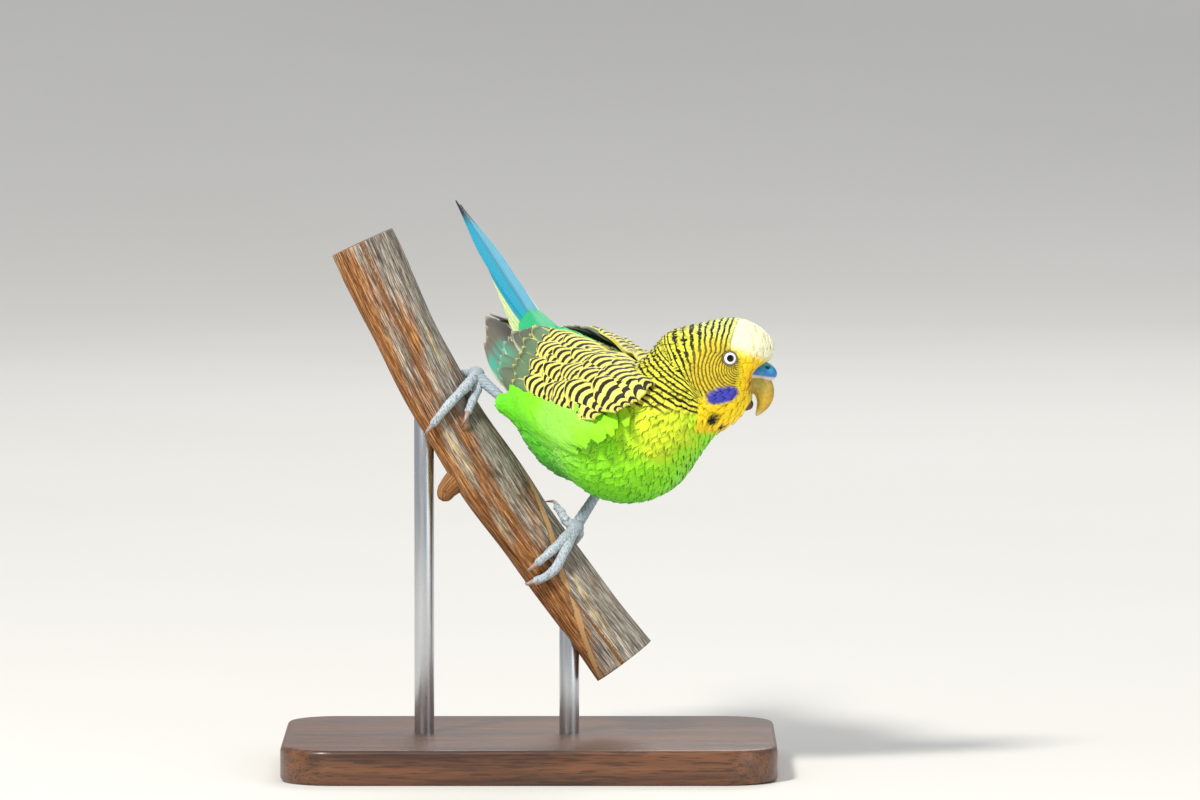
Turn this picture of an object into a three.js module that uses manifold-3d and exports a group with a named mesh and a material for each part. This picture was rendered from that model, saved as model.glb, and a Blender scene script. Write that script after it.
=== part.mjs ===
// A life-size still model of a budgerigar gripping a slanted dead branch, on a flat base with two rods.
// Units are millimetres. +Z is up, -Y faces the viewer and the origin is the middle of the base's underside.
import * as THREE from "three";
import { mergeVertices } from "three/addons/utils/BufferGeometryUtils.js";
import Module from "manifold-3d";

const wasm = await Module();
wasm.setup();

// Driving dimensions

const GAP = 0.3; // air left between neighbouring pieces
const rad = THREE.MathUtils.degToRad;

const STAND = {
  length: 112,
  depth: 78,
  thickness: 8,
  cornerRadius: 12,
  chamfer: 1,
  rodDiameter: 4.5,
  socketDepth: 5, // how far a rod goes into the base and into the branch
  rodX: { stand_rod_low: 9, stand_rod_high: -24 },
};

const BRANCH = {
  radius: 7.4,
  swell: 0.35, // height of its soft lumps
  axis: [
    [-38, 0.5, 120],
    [-27.4, 0, 97.6],
    [-17.6, -0.3, 79.5],
    [-5.1, 0, 60.6],
    [8.3, 0.3, 42.1],
    [21.5, 0, 24.5],
  ],
  knot: { along: 57, angle: 172, radius: 2.6, height: 4.2 },
};

// The trunk: its direction, where its middle is, and its plump feathered shape.
const TRUNK = {
  middle: new THREE.Vector3(17, -13, 83.5),
  turn: 26, // degrees from facing the viewer towards +X
  pitch: -18, // degrees the breast points below level
  roll: 6, // degrees the bird's left side hangs down
};

const HEAD = {
  middle: new THREE.Vector3(44.8, -33, 94.8),
  turn: 82,
  pitch: -8,
  roll: 0,
};

const EYE = { forward: 1.2, up: 1.6, ballRadius: 1.9, sunk: 1.15, lidRadius: 1.6, lidTube: 0.3 };

const TAIL = {
  root: new THREE.Vector3(3.5, 15, 97.5),
  turn: 18.5, // degrees from straight back towards -X
  rise: 23,
  length: 72,
  vaneWidth: 4.5,
  vaneThickness: 0.6,
};

// Helpers

// Unit vectors of something that faces -Y turned towards +X, then pitched and rolled.
function facing(turn, pitch, roll) {
  const t = rad(turn);
  const p = rad(pitch);
  const forward = new THREE.Vector3(
    Math.cos(p) * Math.sin(t),
    -Math.cos(p) * Math.cos(t),
    Math.sin(p),
  );
  const level = new THREE.Vector3(Math.cos(t), Math.sin(t), 0);
  const left = level.applyAxisAngle(forward, rad(roll));
  const up = forward.clone().cross(left);
  return { forward, left, up };
}

// A point at so far forward, left and up from a middle, in a frame made by facing().
function inFrame(frame, middle, forward, left, up) {
  return middle
    .clone()
    .addScaledVector(frame.forward, forward)
    .addScaledVector(frame.left, left)
    .addScaledVector(frame.up, up);
}

function smooth(from, to, value) {
  return THREE.MathUtils.smoothstep(value, from, to);
}

const mix = THREE.MathUtils.lerp;

// A seeded random number between -1 and 1, so that every build is the same.
function chance(seed) {
  const wave = Math.sin(seed * 127.1 + 11.7) * 43758.5453;
  return 2 * (wave - Math.floor(wave)) - 1;
}

// A closed geometry with merged corners.
function closed(geometry) {
  geometry.deleteAttribute("normal");
  geometry.deleteAttribute("uv");
  return mergeVertices(geometry, 1e-4);
}

function solid(geometry) {
  const merged = closed(geometry.index ? geometry : geometry.clone());
  const made = new wasm.Manifold(
    new wasm.Mesh({
      numProp: 3,
      vertProperties: new Float32Array(merged.attributes.position.array),
      triVerts: new Uint32Array(merged.index.array),
    }),
  );
  return made;
}

// Moves every corner of a geometry: change(point) edits the point in place.
function reshape(geometry, change) {
  const position = geometry.attributes.position;
  const point = new THREE.Vector3();
  for (let i = 0; i < position.count; i++) {
    point.fromBufferAttribute(position, i);
    change(point);
    position.setXYZ(i, point.x, point.y, point.z);
  }
  return geometry;
}

// A sphere drawn out along a path: place(share along, angle round, point) sets where each corner goes.
function drawnOut(around, along, place) {
  const sphere = closed(new THREE.SphereGeometry(1, around, along));
  reshape(sphere, (p) => {
    const share = Math.acos(THREE.MathUtils.clamp(p.y, -1, 1)) / Math.PI;
    const angle = Math.atan2(p.z, p.x);
    place(share, angle, p);
  });
  return turnedOut(sphere);
}

// Flips the faces of a geometry that came out inside out.
function turnedOut(geometry) {
  const p = geometry.attributes.position;
  const index = geometry.index.array;
  const a = new THREE.Vector3();
  const b = new THREE.Vector3();
  const c = new THREE.Vector3();
  let volume = 0;
  for (let i = 0; i < index.length; i += 3) {
    a.fromBufferAttribute(p, index[i]);
    b.fromBufferAttribute(p, index[i + 1]);
    c.fromBufferAttribute(p, index[i + 2]);
    volume += a.dot(b.cross(c));
  }
  if (volume < 0) {
    for (let i = 0; i < index.length; i += 3) {
      [index[i + 1], index[i + 2]] = [index[i + 2], index[i + 1]];
    }
  }
  return geometry;
}

// A round or oval tapering limb along a curve: size(share) gives its half width and half height.
function limb({ path, size, upward, around = 8, along = 8 }) {
  const side = new THREE.Vector3();
  const rise = new THREE.Vector3();
  return drawnOut(around, along, (share, angle, p) => {
    const tangent = path.getTangentAt(share);
    side.crossVectors(tangent, upward).normalize();
    rise.crossVectors(side, tangent).normalize();
    const [halfWidth, halfHeight] = size(share);
    const end = share < 1e-6 || share > 1 - 1e-6 ? 0 : 1;
    p.copy(path.getPointAt(share));
    p.addScaledVector(side, end * halfWidth * Math.cos(angle));
    p.addScaledVector(rise, end * halfHeight * Math.sin(angle));
  });
}

function curveThrough(points) {
  return new THREE.CatmullRomCurve3(points, false, "centripetal");
}

function largest(manifold) {
  const bodies = manifold.decompose();
  return bodies.reduce((best, body) => (body.volume() > best.volume() ? body : best));
}

function joined(manifolds) {
  return manifolds.reduce((sum, next) => sum.add(next));
}

// A big box on the side of a plane that its normal points to.
function halfSpace(point, normal) {
  const reach = 200;
  const box = new THREE.BoxGeometry(reach, reach, reach);
  box.translate(0, 0, reach / 2);
  box.applyQuaternion(new THREE.Quaternion().setFromUnitVectors(new THREE.Vector3(0, 0, 1), normal));
  box.translate(point.x, point.y, point.z);
  return solid(box);
}

// The branch and its surface

const branchAxis = curveThrough(BRANCH.axis.map((p) => new THREE.Vector3(...p)));
const branchLength = branchAxis.getLength();
const TOWARDS_VIEWER = new THREE.Vector3(0, -1, 0);

function branchRadius(along, angle) {
  const lumps = Math.sin(along * 0.11 + 1.3) + 0.6 * Math.sin(along * 0.23 + 2 * angle);
  return BRANCH.radius + BRANCH.swell * lumps * 0.6;
}

// A point so far down the branch, at an angle from its upper right side towards the viewer.
function onBranch(along, degrees, height = 0) {
  const share = THREE.MathUtils.clamp(along / branchLength, 0, 1);
  const tangent = branchAxis.getTangentAt(share);
  const angle = rad(degrees);
  const upperRight = new THREE.Vector3().crossVectors(TOWARDS_VIEWER, tangent).normalize();
  if (upperRight.x < 0) upperRight.negate();
  const near = new THREE.Vector3().crossVectors(upperRight, tangent).normalize();
  if (near.y > 0) near.negate();
  const radius = branchRadius(along, angle) + height;
  return branchAxis
    .getPointAt(share)
    .addScaledVector(upperRight, radius * Math.cos(angle))
    .addScaledVector(near, radius * Math.sin(angle));
}

function branchSolid() {
  const rings = 20;
  const bark = drawnOut(16, rings, (share, angle, p) => {
    const capped = THREE.MathUtils.clamp((share * rings - 1) / (rings - 2), 0, 1);
    const atPole = share < 1e-6 || share > 1 - 1e-6;
    const along = capped * branchLength;
    if (atPole) p.copy(branchAxis.getPointAt(capped));
    else p.copy(onBranch(along, THREE.MathUtils.radToDeg(angle)));
  });
  const { along, angle, radius, height } = BRANCH.knot;
  const knot = limb({
    path: curveThrough([
      onBranch(along, angle, -3),
      onBranch(along + 1, angle, height * 0.5),
      onBranch(along + 2.5, angle, height),
    ]),
    size: (s) => [radius * Math.sqrt(1 - s ** 4), radius * Math.sqrt(1 - s ** 4)],
    upward: TOWARDS_VIEWER,
    around: 8,
    along: 6,
  });
  return solid(bark).add(solid(knot));
}

// The trunk, neck and head as one plump skin

const trunk = facing(TRUNK.turn, TRUNK.pitch, TRUNK.roll);
const head = facing(HEAD.turn, HEAD.pitch, HEAD.roll);
const neckFrame = facing(62, 22, 0);

const inTrunk = (forward, left, up) => inFrame(trunk, TRUNK.middle, forward, left, up);
const inHead = (forward, left, up) => inFrame(head, HEAD.middle, forward, left, up);

// Soft egg shapes that melt into one another: half sizes are forward, sideways and upward.
const LUMPS = [
  { frame: trunk, middle: inTrunk(-21, 0, 1), half: [17, 9.5, 8] }, // rump
  { frame: trunk, middle: inTrunk(-6, -0.5, -4.3), half: [20, 16.3, 15.6] }, // belly
  { frame: trunk, middle: inTrunk(12, 0, -1.5), half: [17.5, 17, 16] }, // breast
  { frame: neckFrame, middle: inTrunk(20, 5, 6), half: [14, 12.5, 12] }, // neck
  { frame: head, middle: inHead(-8, 0, -1.5), half: [9.5, 9, 8.5] }, // nape
  { frame: head, middle: inHead(-0.6, 0, 0.4), half: [8.4, 8.7, 9.2] }, // skull
  { frame: head, middle: inHead(3, 0, 3), half: [7, 5.6, 5.8] }, // forehead
  { frame: head, middle: inHead(-0.7, 0, -6.6), half: [7.3, 7.4, 8] }, // cheeks and throat
];
const MELT = 4.5; // how far the shapes blend into one another

function skinDepth(point) {
  const local = new THREE.Vector3();
  let field = Infinity;
  for (const { frame, middle, half } of LUMPS) {
    local.subVectors(point, middle);
    const x = local.dot(frame.forward) / half[0];
    const y = local.dot(frame.left) / half[1];
    const z = local.dot(frame.up) / half[2];
    const distance = (Math.hypot(x, y, z) - 1) * Math.min(...half);
    if (field === Infinity) {
      field = distance;
    } else {
      const blend = Math.max(MELT - Math.abs(field - distance), 0) / MELT;
      field = Math.min(field, distance) - (blend * blend * MELT) / 4;
    }
  }
  return field;
}

// Where a ray from inside the body leaves its skin.
function leaveSkin(from, direction, offset = 0) {
  let near = 0;
  let far = 45;
  const p = new THREE.Vector3();
  for (let i = 0; i < 26; i++) {
    const half = (near + far) / 2;
    p.copy(from).addScaledVector(direction, half);
    if (skinDepth(p) < offset) near = half;
    else far = half;
  }
  return p.copy(from).addScaledVector(direction, (near + far) / 2);
}

const bodyPath = curveThrough([
  inTrunk(-27, 0, 4),
  inTrunk(-6, 0, 0),
  inTrunk(9, 1, 0),
  inTrunk(19, 6, 5),
  inHead(-1.5, 0, -0.5),
]);

function bodySkin(offset, around = 32, along = 38) {
  const tailCap = 0.09;
  const faceCap = 0.84;
  const normal = new THREE.Vector3();
  const side = new THREE.Vector3();
  const rise = new THREE.Vector3();
  const ray = new THREE.Vector3();
  return drawnOut(around, along, (share, angle, p) => {
    const t = THREE.MathUtils.clamp((share - tailCap) / (faceCap - tailCap), 0, 1);
    const behind = Math.max(0, 1 - share / tailCap);
    const ahead = Math.max(0, (share - faceCap) / (1 - faceCap));
    const tilt = (ahead - behind) * (Math.PI / 2);
    normal.copy(trunk.forward).lerp(head.forward, smooth(0.1, 1, t)).normalize();
    side.copy(trunk.left).lerp(head.left, smooth(0.1, 1, t));
    side.addScaledVector(normal, -side.dot(normal)).normalize();
    rise.crossVectors(normal, side);
    ray.set(0, 0, 0);
    ray.addScaledVector(side, Math.cos(angle) * Math.cos(tilt));
    ray.addScaledVector(rise, Math.sin(angle) * Math.cos(tilt));
    ray.addScaledVector(normal, Math.sin(tilt));
    p.copy(leaveSkin(bodyPath.getPointAt(t), ray.normalize(), offset));
  });
}

const body = solid(bodySkin(0));
const bodyWithGap = solid(bodySkin(GAP));

// The bill and the cere, in the head's own frame

// extra makes each piece that much thicker all round, to cut its neighbours clear of it.
function billSolids(extra = 0) {
  const upper = limb({
    path: curveThrough([
      inHead(4 - 2 * extra, 0, -3.8),
      inHead(7.4, 0, -3.6),
      inHead(9, 0, -5.8),
      inHead(9, 0, -8.2),
      inHead(7.8, 0, -11 - extra),
    ]),
    size: (s) => [mix(2.7, 0.25, s ** 1.6) + extra, mix(2.4, 0.3, s ** 1.3) + extra],
    upward: head.left,
    around: 12,
    along: 12,
  });
  const lower = limb({
    path: curveThrough([inHead(2.6 - extra, 0, -7.4), inHead(5, 0, -8.6), inHead(6.9 + extra, 0, -8.7)]),
    size: (s) => [1.9 * Math.sqrt(1 - s ** 3) + extra, 1.5 * Math.sqrt(1 - s ** 3) + extra],
    upward: head.left,
    around: 10,
    along: 6,
  });
  const cere = limb({
    path: curveThrough([inHead(4.5 - extra, 0, -1.4), inHead(8, 0, -0.7), inHead(11 + extra, 0, -1.9)]),
    size: (s) => {
      const end = Math.sqrt(1 - s ** 6);
      return [mix(3.2, 2.6, s) * end + extra, mix(2.2, 1.9, s) * end + extra];
    },
    upward: head.up,
    around: 12,
    along: 8,
  });
  return { upper: solid(upper), lower: solid(lower), cere: solid(cere) };
}

// The cere's two nostrils are shallow round pits.
function withNostrils(cere) {
  for (const side of [-1, 1]) {
    const pit = new THREE.SphereGeometry(0.5, 8, 6);
    const place = inHead(9.1, side * 1.9, 0.5);
    pit.translate(place.x, place.y, place.z);
    cere = cere.subtract(solid(pit));
  }
  return cere;
}

// Eyes and lids

function eyeSolids(side) {
  const outward = head.left.clone().multiplyScalar(side);
  const inside = inHead(EYE.forward, 0, EYE.up);
  const surface = leaveSkin(inside, outward);
  const step = 0.4;
  const normal = new THREE.Vector3();
  for (const axis of [head.forward, head.left, head.up]) {
    const plus = skinDepth(surface.clone().addScaledVector(axis, step));
    const minus = skinDepth(surface.clone().addScaledVector(axis, -step));
    normal.addScaledVector(axis, plus - minus);
  }
  normal.normalize();
  const centre = surface.clone().addScaledVector(normal, -EYE.sunk);
  const ball = (radius) => {
    const sphere = new THREE.SphereGeometry(radius, 14, 9);
    sphere.translate(centre.x, centre.y, centre.z);
    return solid(sphere);
  };
  const ring = new THREE.TorusGeometry(EYE.lidRadius, EYE.lidTube, 6, 16);
  ring.applyQuaternion(new THREE.Quaternion().setFromUnitVectors(new THREE.Vector3(0, 0, 1), normal));
  ring.translate(surface.x, surface.y, surface.z);
  return { ball: ball(EYE.ballRadius), socket: ball(EYE.ballRadius + GAP), lid: solid(ring) };
}

// Feathers: a flat outline laid on a curved sheet

// A feather on a sheet. sheet(across, along, lift) gives a point; root and tip are [across, along].
function vane(sheet, { root, tip, width, thickness, lift, tipLift = lift, tipWidth = 0.5 }) {
  const stations = [
    [0, 0.5],
    [0.35, 0.96],
    [0.8, 0.66 + 0.34 * tipWidth],
    [1, tipWidth * 0.35],
  ];
  const half = width / 2;
  const right = stations.map(([y, w]) => new THREE.Vector2(half * w, y));
  const left = stations.map(([y, w]) => new THREE.Vector2(-half * w, y)).reverse();
  const shape = new THREE.Shape([...right, ...left]);
  const plate = new THREE.ExtrudeGeometry(shape, { depth: thickness, bevelEnabled: false, steps: 1 });
  reshape(plate, (p) => {
    const along = mix(root[1], tip[1], p.y);
    const across = mix(root[0], tip[0], p.y) + p.x;
    p.copy(sheet(across, along, mix(lift, tipLift, p.y) + p.z));
  });
  return solid(turnedOut(closed(plate)));
}

// The folded wings lie on a bullet-shaped sheet about the trunk that narrows to the rear.
const WING = {
  front: 17, // where the sheet starts, ahead of the trunk's middle
  length: 90,
  vaneThickness: 0.6,
  halfSpan: 9, // from the middle line of the folded wing to its upper and lower edges
  droop: { right: 9.5, left: 9.5 }, // degrees the wing's axis points below the trunk's, towards the rear
  middleArc: { right: 50, left: 38 }, // how far round the trunk its middle line lies, at the front
  closing: { right: 4, left: -2.5 }, // how far the tips swing in over the rump
};

function wingSheet(name) {
  const side = name === "left" ? 1 : -1;
  const outwards = new THREE.Vector3();
  return (across, along, lift) => {
    const share = along / WING.length;
    const halfWidth = mix(17.5, 19, smooth(0, 0.25, share)) * (1 - 0.86 * smooth(0.3, 1.12, share));
    const halfHeight = mix(13, 14.5, smooth(0, 0.3, share)) * (1 - 0.75 * smooth(0.35, 1.1, share));
    const middleArc = rad(mix(WING.middleArc[name], 34, share));
    const angle = middleArc + (2 * across) / (halfWidth + halfHeight);
    const droop = Math.tan(rad(WING.droop[name])) * along;
    const axis = inTrunk(WING.front - along, -side * WING.closing[name] * share, 7 * share - 2 - droop);
    outwards.set(0, 0, 0);
    outwards.addScaledVector(trunk.left, side * halfWidth * Math.cos(angle));
    outwards.addScaledVector(trunk.up, halfHeight * Math.sin(angle));
    const free = outwards.length();
    outwards.normalize();
    const covered = Math.min(leaveSkin(axis, outwards).distanceTo(axis) + 0.4, free + 3);
    return axis.addScaledVector(outwards, Math.max(free, covered) + lift);
  };
}

// The tiers of a folded wing, from the lowest layer up. Each runs from its lowest feather to its highest:
// root and tip are [across, along] for both ends of the tier.
const WING_TIERS = [
  { name: "primaries", count: 5, root: [[-6, 22], [-1, 26]], tip: [[-3.3, 76], [2.4, 88]], width: 5.8, lift: -0.5 },
  { name: "secondaries", count: 4, root: [[-4, 16], [5, 16]], tip: [[-5.5, 46], [4, 60]], width: 7, lift: 0.4 },
  { name: "tertials", count: 2, root: [[6, 10], [8, 8]], tip: [[5, 56], [7.5, 50]], width: 6, lift: 1.1 },
  { name: "greater coverts", count: 5, root: [[-6.5, 12], [6, 10]], tip: [[-7.5, 31], [5, 43]], width: 5.2, lift: 1.4 },
  { name: "median coverts", count: 4, root: [[-6, 4], [6, 3]], tip: [[-7, 21], [5.5, 32]], width: 6.2, lift: 2 },
  { name: "lesser coverts", count: 3, root: [[-4.5, -3], [4.5, -3]], tip: [[-6, 11], [5.5, 21]], width: 8, lift: 2.6 },
];

function wingSolid(name) {
  const sheet = wingSheet(name);
  const core = new THREE.BoxGeometry(1, 1, 1, 5, 6, 1);
  reshape(core, (p) => {
    const share = p.y + 0.5;
    const narrow = mix(0.7, 1, Math.sin(Math.PI * share));
    const across = p.x * 2 * WING.halfSpan * narrow;
    const thickness = mix(1.5, 0.4, share);
    p.copy(sheet(across, mix(-1, 34, share), p.z > 0 ? thickness : -4));
  });
  const pieces = [solid(turnedOut(closed(core)))];
  WING_TIERS.forEach((tier, layer) => {
    for (let i = 0; i < tier.count; i++) {
      const k = i / (tier.count - 1);
      const vary = chance(layer * 20 + i);
      pieces.push(
        vane(sheet, {
          root: [mix(tier.root[0][0], tier.root[1][0], k), mix(tier.root[0][1], tier.root[1][1], k)],
          tip: [mix(tier.tip[0][0], tier.tip[1][0], k), mix(tier.tip[0][1], tier.tip[1][1], k) + 0.8 * vary],
          width: tier.width,
          thickness: WING.vaneThickness,
          lift: tier.lift - 0.5,
          tipLift: tier.lift + (i % 2 ? 0.3 : 0),
          tipWidth: layer ? 0.8 : 0.45,
        }),
      );
    }
  });
  return largest(joined(pieces).subtract(bodyWithGap));
}

// The tail

const tailFrame = (() => {
  const turn = rad(TAIL.turn);
  const rise = rad(TAIL.rise);
  const back = new THREE.Vector3(-Math.cos(rise) * Math.sin(turn), Math.cos(rise) * Math.cos(turn), Math.sin(rise));
  const left = trunk.left.clone().addScaledVector(back, -trunk.left.dot(back)).normalize();
  const up = left.clone().cross(back).normalize();
  return { back, left, up: up.z < 0 ? up.negate() : up };
})();

function tailSheet(across, along, lift) {
  const roof = 0.16 * Math.abs(across);
  return TAIL.root
    .clone()
    .addScaledVector(tailFrame.back, along)
    .addScaledVector(tailFrame.left, across)
    .addScaledVector(tailFrame.up, lift - roof);
}

function tailSolid() {
  const pieces = [];
  const pairs = 5;
  for (let i = 0; i < pairs; i++) {
    for (const side of [-1, 1]) {
      const graduated = i ? 0.86 - 0.12 * i : 1;
      pieces.push(
        vane(tailSheet, {
          root: [side * (0.5 + 0.42 * i), -12],
          tip: [side * (0.3 + 0.5 * i), TAIL.length * graduated - (side > 0 ? 2 : 0)],
          width: TAIL.vaneWidth,
          thickness: TAIL.vaneThickness,
          lift: -0.45 * i - (side > 0 ? 0.2 : 0),
          tipWidth: 0.35,
        }),
      );
    }
  }
  const coverts = 3;
  for (let i = 0; i < coverts; i++) {
    const across = i - (coverts - 1) / 2;
    const reach = 20 - 3 * Math.abs(across) + chance(i);
    for (const [lift, length] of [[0.7 - 0.3 * Math.abs(across), reach], [-3.6 + 0.3 * Math.abs(across), reach + 3]]) {
      pieces.push(
        vane(tailSheet, {
          root: [1.5 * across, -10],
          tip: [1.9 * across, length],
          width: 5,
          thickness: TAIL.vaneThickness,
          lift,
          tipLift: lift > 0 ? 0.35 : -3.2,
          tipWidth: 0.6,
        }),
      );
    }
  }
  const stem = new THREE.BoxGeometry(5, 1, 1, 2, 1, 1);
  reshape(stem, (p) => p.copy(tailSheet(p.x, p.y > 0 ? 8 : -13, p.z > 0 ? 0.5 : -3.4)));
  pieces.push(solid(turnedOut(closed(stem))));
  return largest(joined(pieces).subtract(bodyWithGap));
}

// The room that the tail takes over the rump, which the wings leave free.
function tailClearance() {
  const room = new THREE.BoxGeometry(1, 1, 1, 4, 1, 1);
  reshape(room, (p) => {
    const across = p.x * (p.y > 0 ? 8 : 10);
    p.copy(tailSheet(across, p.y > 0 ? 60 : -14, p.z > 0 ? 1.6 : -4.9));
  });
  return solid(turnedOut(closed(room)));
}

// Legs, feet and claws

const FEET = {
  right: {
    along: 39,
    ball: [39, 6, 2.6],
    hip: inTrunk(-5, -9, -6),
    ankle: inTrunk(-12.5, -17.5, -2.5),
    toes: [
      { radius: 1.15, points: [[40, 40, 1.6], [41.2, 72, 1.3], [42.6, 98, 1.2], [43.8, 118, 1]] },
      { radius: 1.1, points: [[42, 20, 1.6], [43.6, 42, 1.3], [45.5, 62, 1.1]] },
      { radius: 1.1, points: [[38, -28, 1.6], [37, -60, 1.3], [36.5, -92, 1.1]] },
      { radius: 1.05, points: [[40, -30, 1.6], [41.5, -52, 1.3], [42.5, -72, 1.1]] },
    ],
  },
  left: {
    along: 81,
    ball: [81.5, 16, 2.5],
    hip: inTrunk(-4, 6, -9),
    ankle: inTrunk(-7, 5, -21),
    toes: [
      { radius: 1.15, points: [[82, 62, 1.4], [82.4, 88, 1.2], [82.6, 106, 1.1]] },
      { radius: 1.2, points: [[84, 60, 1.5], [86, 86, 1.3], [86.2, 108, 1.2], [85.6, 128, 1.1]] },
      { radius: 1.05, points: [[79, 20, 1.6], [77, 6, 1.3], [75.3, -10, 1.1]] },
      { radius: 1.1, points: [[83.5, -8, 1.6], [84.5, -38, 1.3], [85, -68, 1.1]] },
    ],
  },
};

function tarsusSolid(foot, extra = 0) {
  const ball = onBranch(...foot.ball);
  return solid(
    limb({
      path: curveThrough([foot.ankle, foot.ankle.clone().lerp(ball, 0.5), ball]),
      size: (s) => [mix(0.9, 1.5, s) + extra, mix(1, 1.4, s) + extra],
      upward: TOWARDS_VIEWER,
      around: 8,
      along: 6,
    }),
  );
}

function footSolids(foot) {
  const ball = onBranch(...foot.ball);
  const pad = new THREE.SphereGeometry(2.1, 9, 6);
  pad.translate(ball.x, ball.y, ball.z);
  const pieces = [tarsusSolid(foot), solid(pad)];
  const claws = [];
  for (const toe of foot.toes) {
    const points = toe.points.map(([along, angle, lift]) => onBranch(along, angle, lift + GAP));
    const path = curveThrough([ball, ...points]);
    pieces.push(
      solid(
        limb({
          path,
          size: (s) => {
            const r = toe.radius * mix(1.15, 0.8, s);
            return [r, r];
          },
          upward: TOWARDS_VIEWER,
          around: 7,
          along: 7,
        }),
      ),
    );
    const clearance = limb({
      path,
      size: (s) => {
        const r = toe.radius * mix(1.15, 0.8, s) + GAP;
        return [r, r];
      },
      upward: TOWARDS_VIEWER,
      around: 7,
      along: 7,
    });
    const last = toe.points.at(-1);
    const before = toe.points.at(-2);
    const step = [last[0] - before[0], last[1] - before[1]];
    const size = Math.hypot(step[0], rad(step[1]) * 8);
    const ahead = (mm, lift) =>
      onBranch(last[0] + (step[0] / size) * mm, last[1] + (step[1] / size) * mm, lift);
    claws.push(
      solid(
        limb({
          path: curveThrough([ahead(-0.7, last[2] + GAP), ahead(1.6, 1.9), ahead(3.6, 0.55)]),
          size: (s) => [mix(0.7, 0.12, s), mix(0.8, 0.12, s)],
          upward: TOWARDS_VIEWER,
          around: 6,
          along: 6,
        }),
      ).subtract(solid(clearance)),
    );
  }
  return { foot: joined(pieces), claws };
}

function thighSolid(foot, extra = 0) {
  return solid(
    limb({
      path: curveThrough([foot.hip, foot.hip.clone().lerp(foot.ankle, 0.5), foot.ankle]),
      size: (s) => [mix(7, 2.5, s) + extra, mix(6.5, 2.5, s) + extra],
      upward: trunk.forward,
      around: 12,
      along: 8,
    }),
  );
}

// The stand

function standBase() {
  const { length, depth, thickness, cornerRadius, chamfer } = STAND;
  const x = length / 2 - chamfer;
  const y = depth / 2 - chamfer;
  const r = cornerRadius - chamfer;
  const outline = new THREE.Shape();
  outline.absarc(x - r, y - r, r, 0, Math.PI / 2);
  outline.absarc(-x + r, y - r, r, Math.PI / 2, Math.PI);
  outline.absarc(-x + r, -y + r, r, Math.PI, 1.5 * Math.PI);
  outline.absarc(x - r, -y + r, r, 1.5 * Math.PI, 2 * Math.PI);
  const plate = new THREE.ExtrudeGeometry(outline, {
    depth: thickness - 2 * chamfer,
    bevelEnabled: true,
    bevelThickness: chamfer,
    bevelSize: chamfer,
    bevelSegments: 1,
    curveSegments: 5,
  });
  plate.translate(0, 0, chamfer);
  return solid(plate);
}

function rodSolid(x, radius, bottom, top) {
  const rod = new THREE.CylinderGeometry(radius, radius, top - bottom, 20);
  rod.rotateX(Math.PI / 2);
  rod.translate(x, 0, (top + bottom) / 2);
  return solid(rod);
}

// Height of the branch's underside over a point of the base.
function branchUnderside(x) {
  let lowest = Infinity;
  for (let i = 0; i <= 400; i++) {
    for (let degrees = 180; degrees < 360; degrees += 5) {
      const p = onBranch((branchLength * i) / 400, degrees - 90);
      if (Math.abs(p.x - x) < 0.4 && Math.abs(p.y) < 1.5) lowest = Math.min(lowest, p.z);
    }
  }
  return lowest;
}

// Putting the pieces together

const model = new THREE.Group();

function show(name, manifold, colour, roughness = 0.8, metalness = 0) {
  const mesh = manifold.getMesh();
  const geometry = new THREE.BufferGeometry();
  geometry.setAttribute("position", new THREE.BufferAttribute(new Float32Array(mesh.vertProperties), 3));
  geometry.setIndex(new THREE.BufferAttribute(new Uint32Array(mesh.triVerts), 1));
  geometry.computeVertexNormals();
  const shown = new THREE.Mesh(geometry, new THREE.MeshStandardMaterial({ color: colour, roughness, metalness }));
  shown.name = name;
  model.add(shown);
}

const bill = billSolids();
const aroundBill = billSolids(1.6 * GAP);
const eyes = { right: eyeSolids(-1), left: eyeSolids(1) };

const headCut = { point: inHead(-7.5, 0, -3), normal: facing(74, 22, 0).forward };
const neckCut = { point: inTrunk(16, 2, 3), normal: facing(52, 12, 0).forward };
const beyond = (cut, by) => cut.point.clone().addScaledVector(cut.normal, by);
const opposite = (cut) => cut.normal.clone().negate();

let headPiece = body.intersect(halfSpace(beyond(headCut, GAP / 2), headCut.normal));
const rest = body.intersect(halfSpace(beyond(headCut, -GAP / 2), opposite(headCut)));
const neckPiece = rest.intersect(halfSpace(beyond(neckCut, GAP / 2), neckCut.normal));
const torsoPiece = rest.intersect(halfSpace(beyond(neckCut, -GAP / 2), opposite(neckCut)));
for (const side of ["right", "left"]) {
  headPiece = headPiece.add(eyes[side].lid).subtract(eyes[side].socket);
}
for (const cutter of Object.values(aroundBill)) headPiece = headPiece.subtract(cutter);

show("torso", largest(torsoPiece), 0x5fc21e);
show("neck", largest(neckPiece), 0xc9cf2a);
show("head", largest(headPiece), 0xf2dc2c);
show("eye_right", eyes.right.ball, 0x101010, 0.1);
show("eye_left", eyes.left.ball, 0x101010, 0.1);
show("cere", withNostrils(bill.cere), 0x4a6fc8, 0.45);
show("tail", tailSolid(), 0x1fa8d8);
const tailRoom = tailClearance();
for (const side of ["right", "left"]) {
  const leg = thighSolid(FEET[side], GAP).add(tarsusSolid(FEET[side], GAP));
  show("wing_" + side, largest(wingSolid(side).subtract(leg).subtract(tailRoom)), 0xd8d35a);
}

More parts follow.
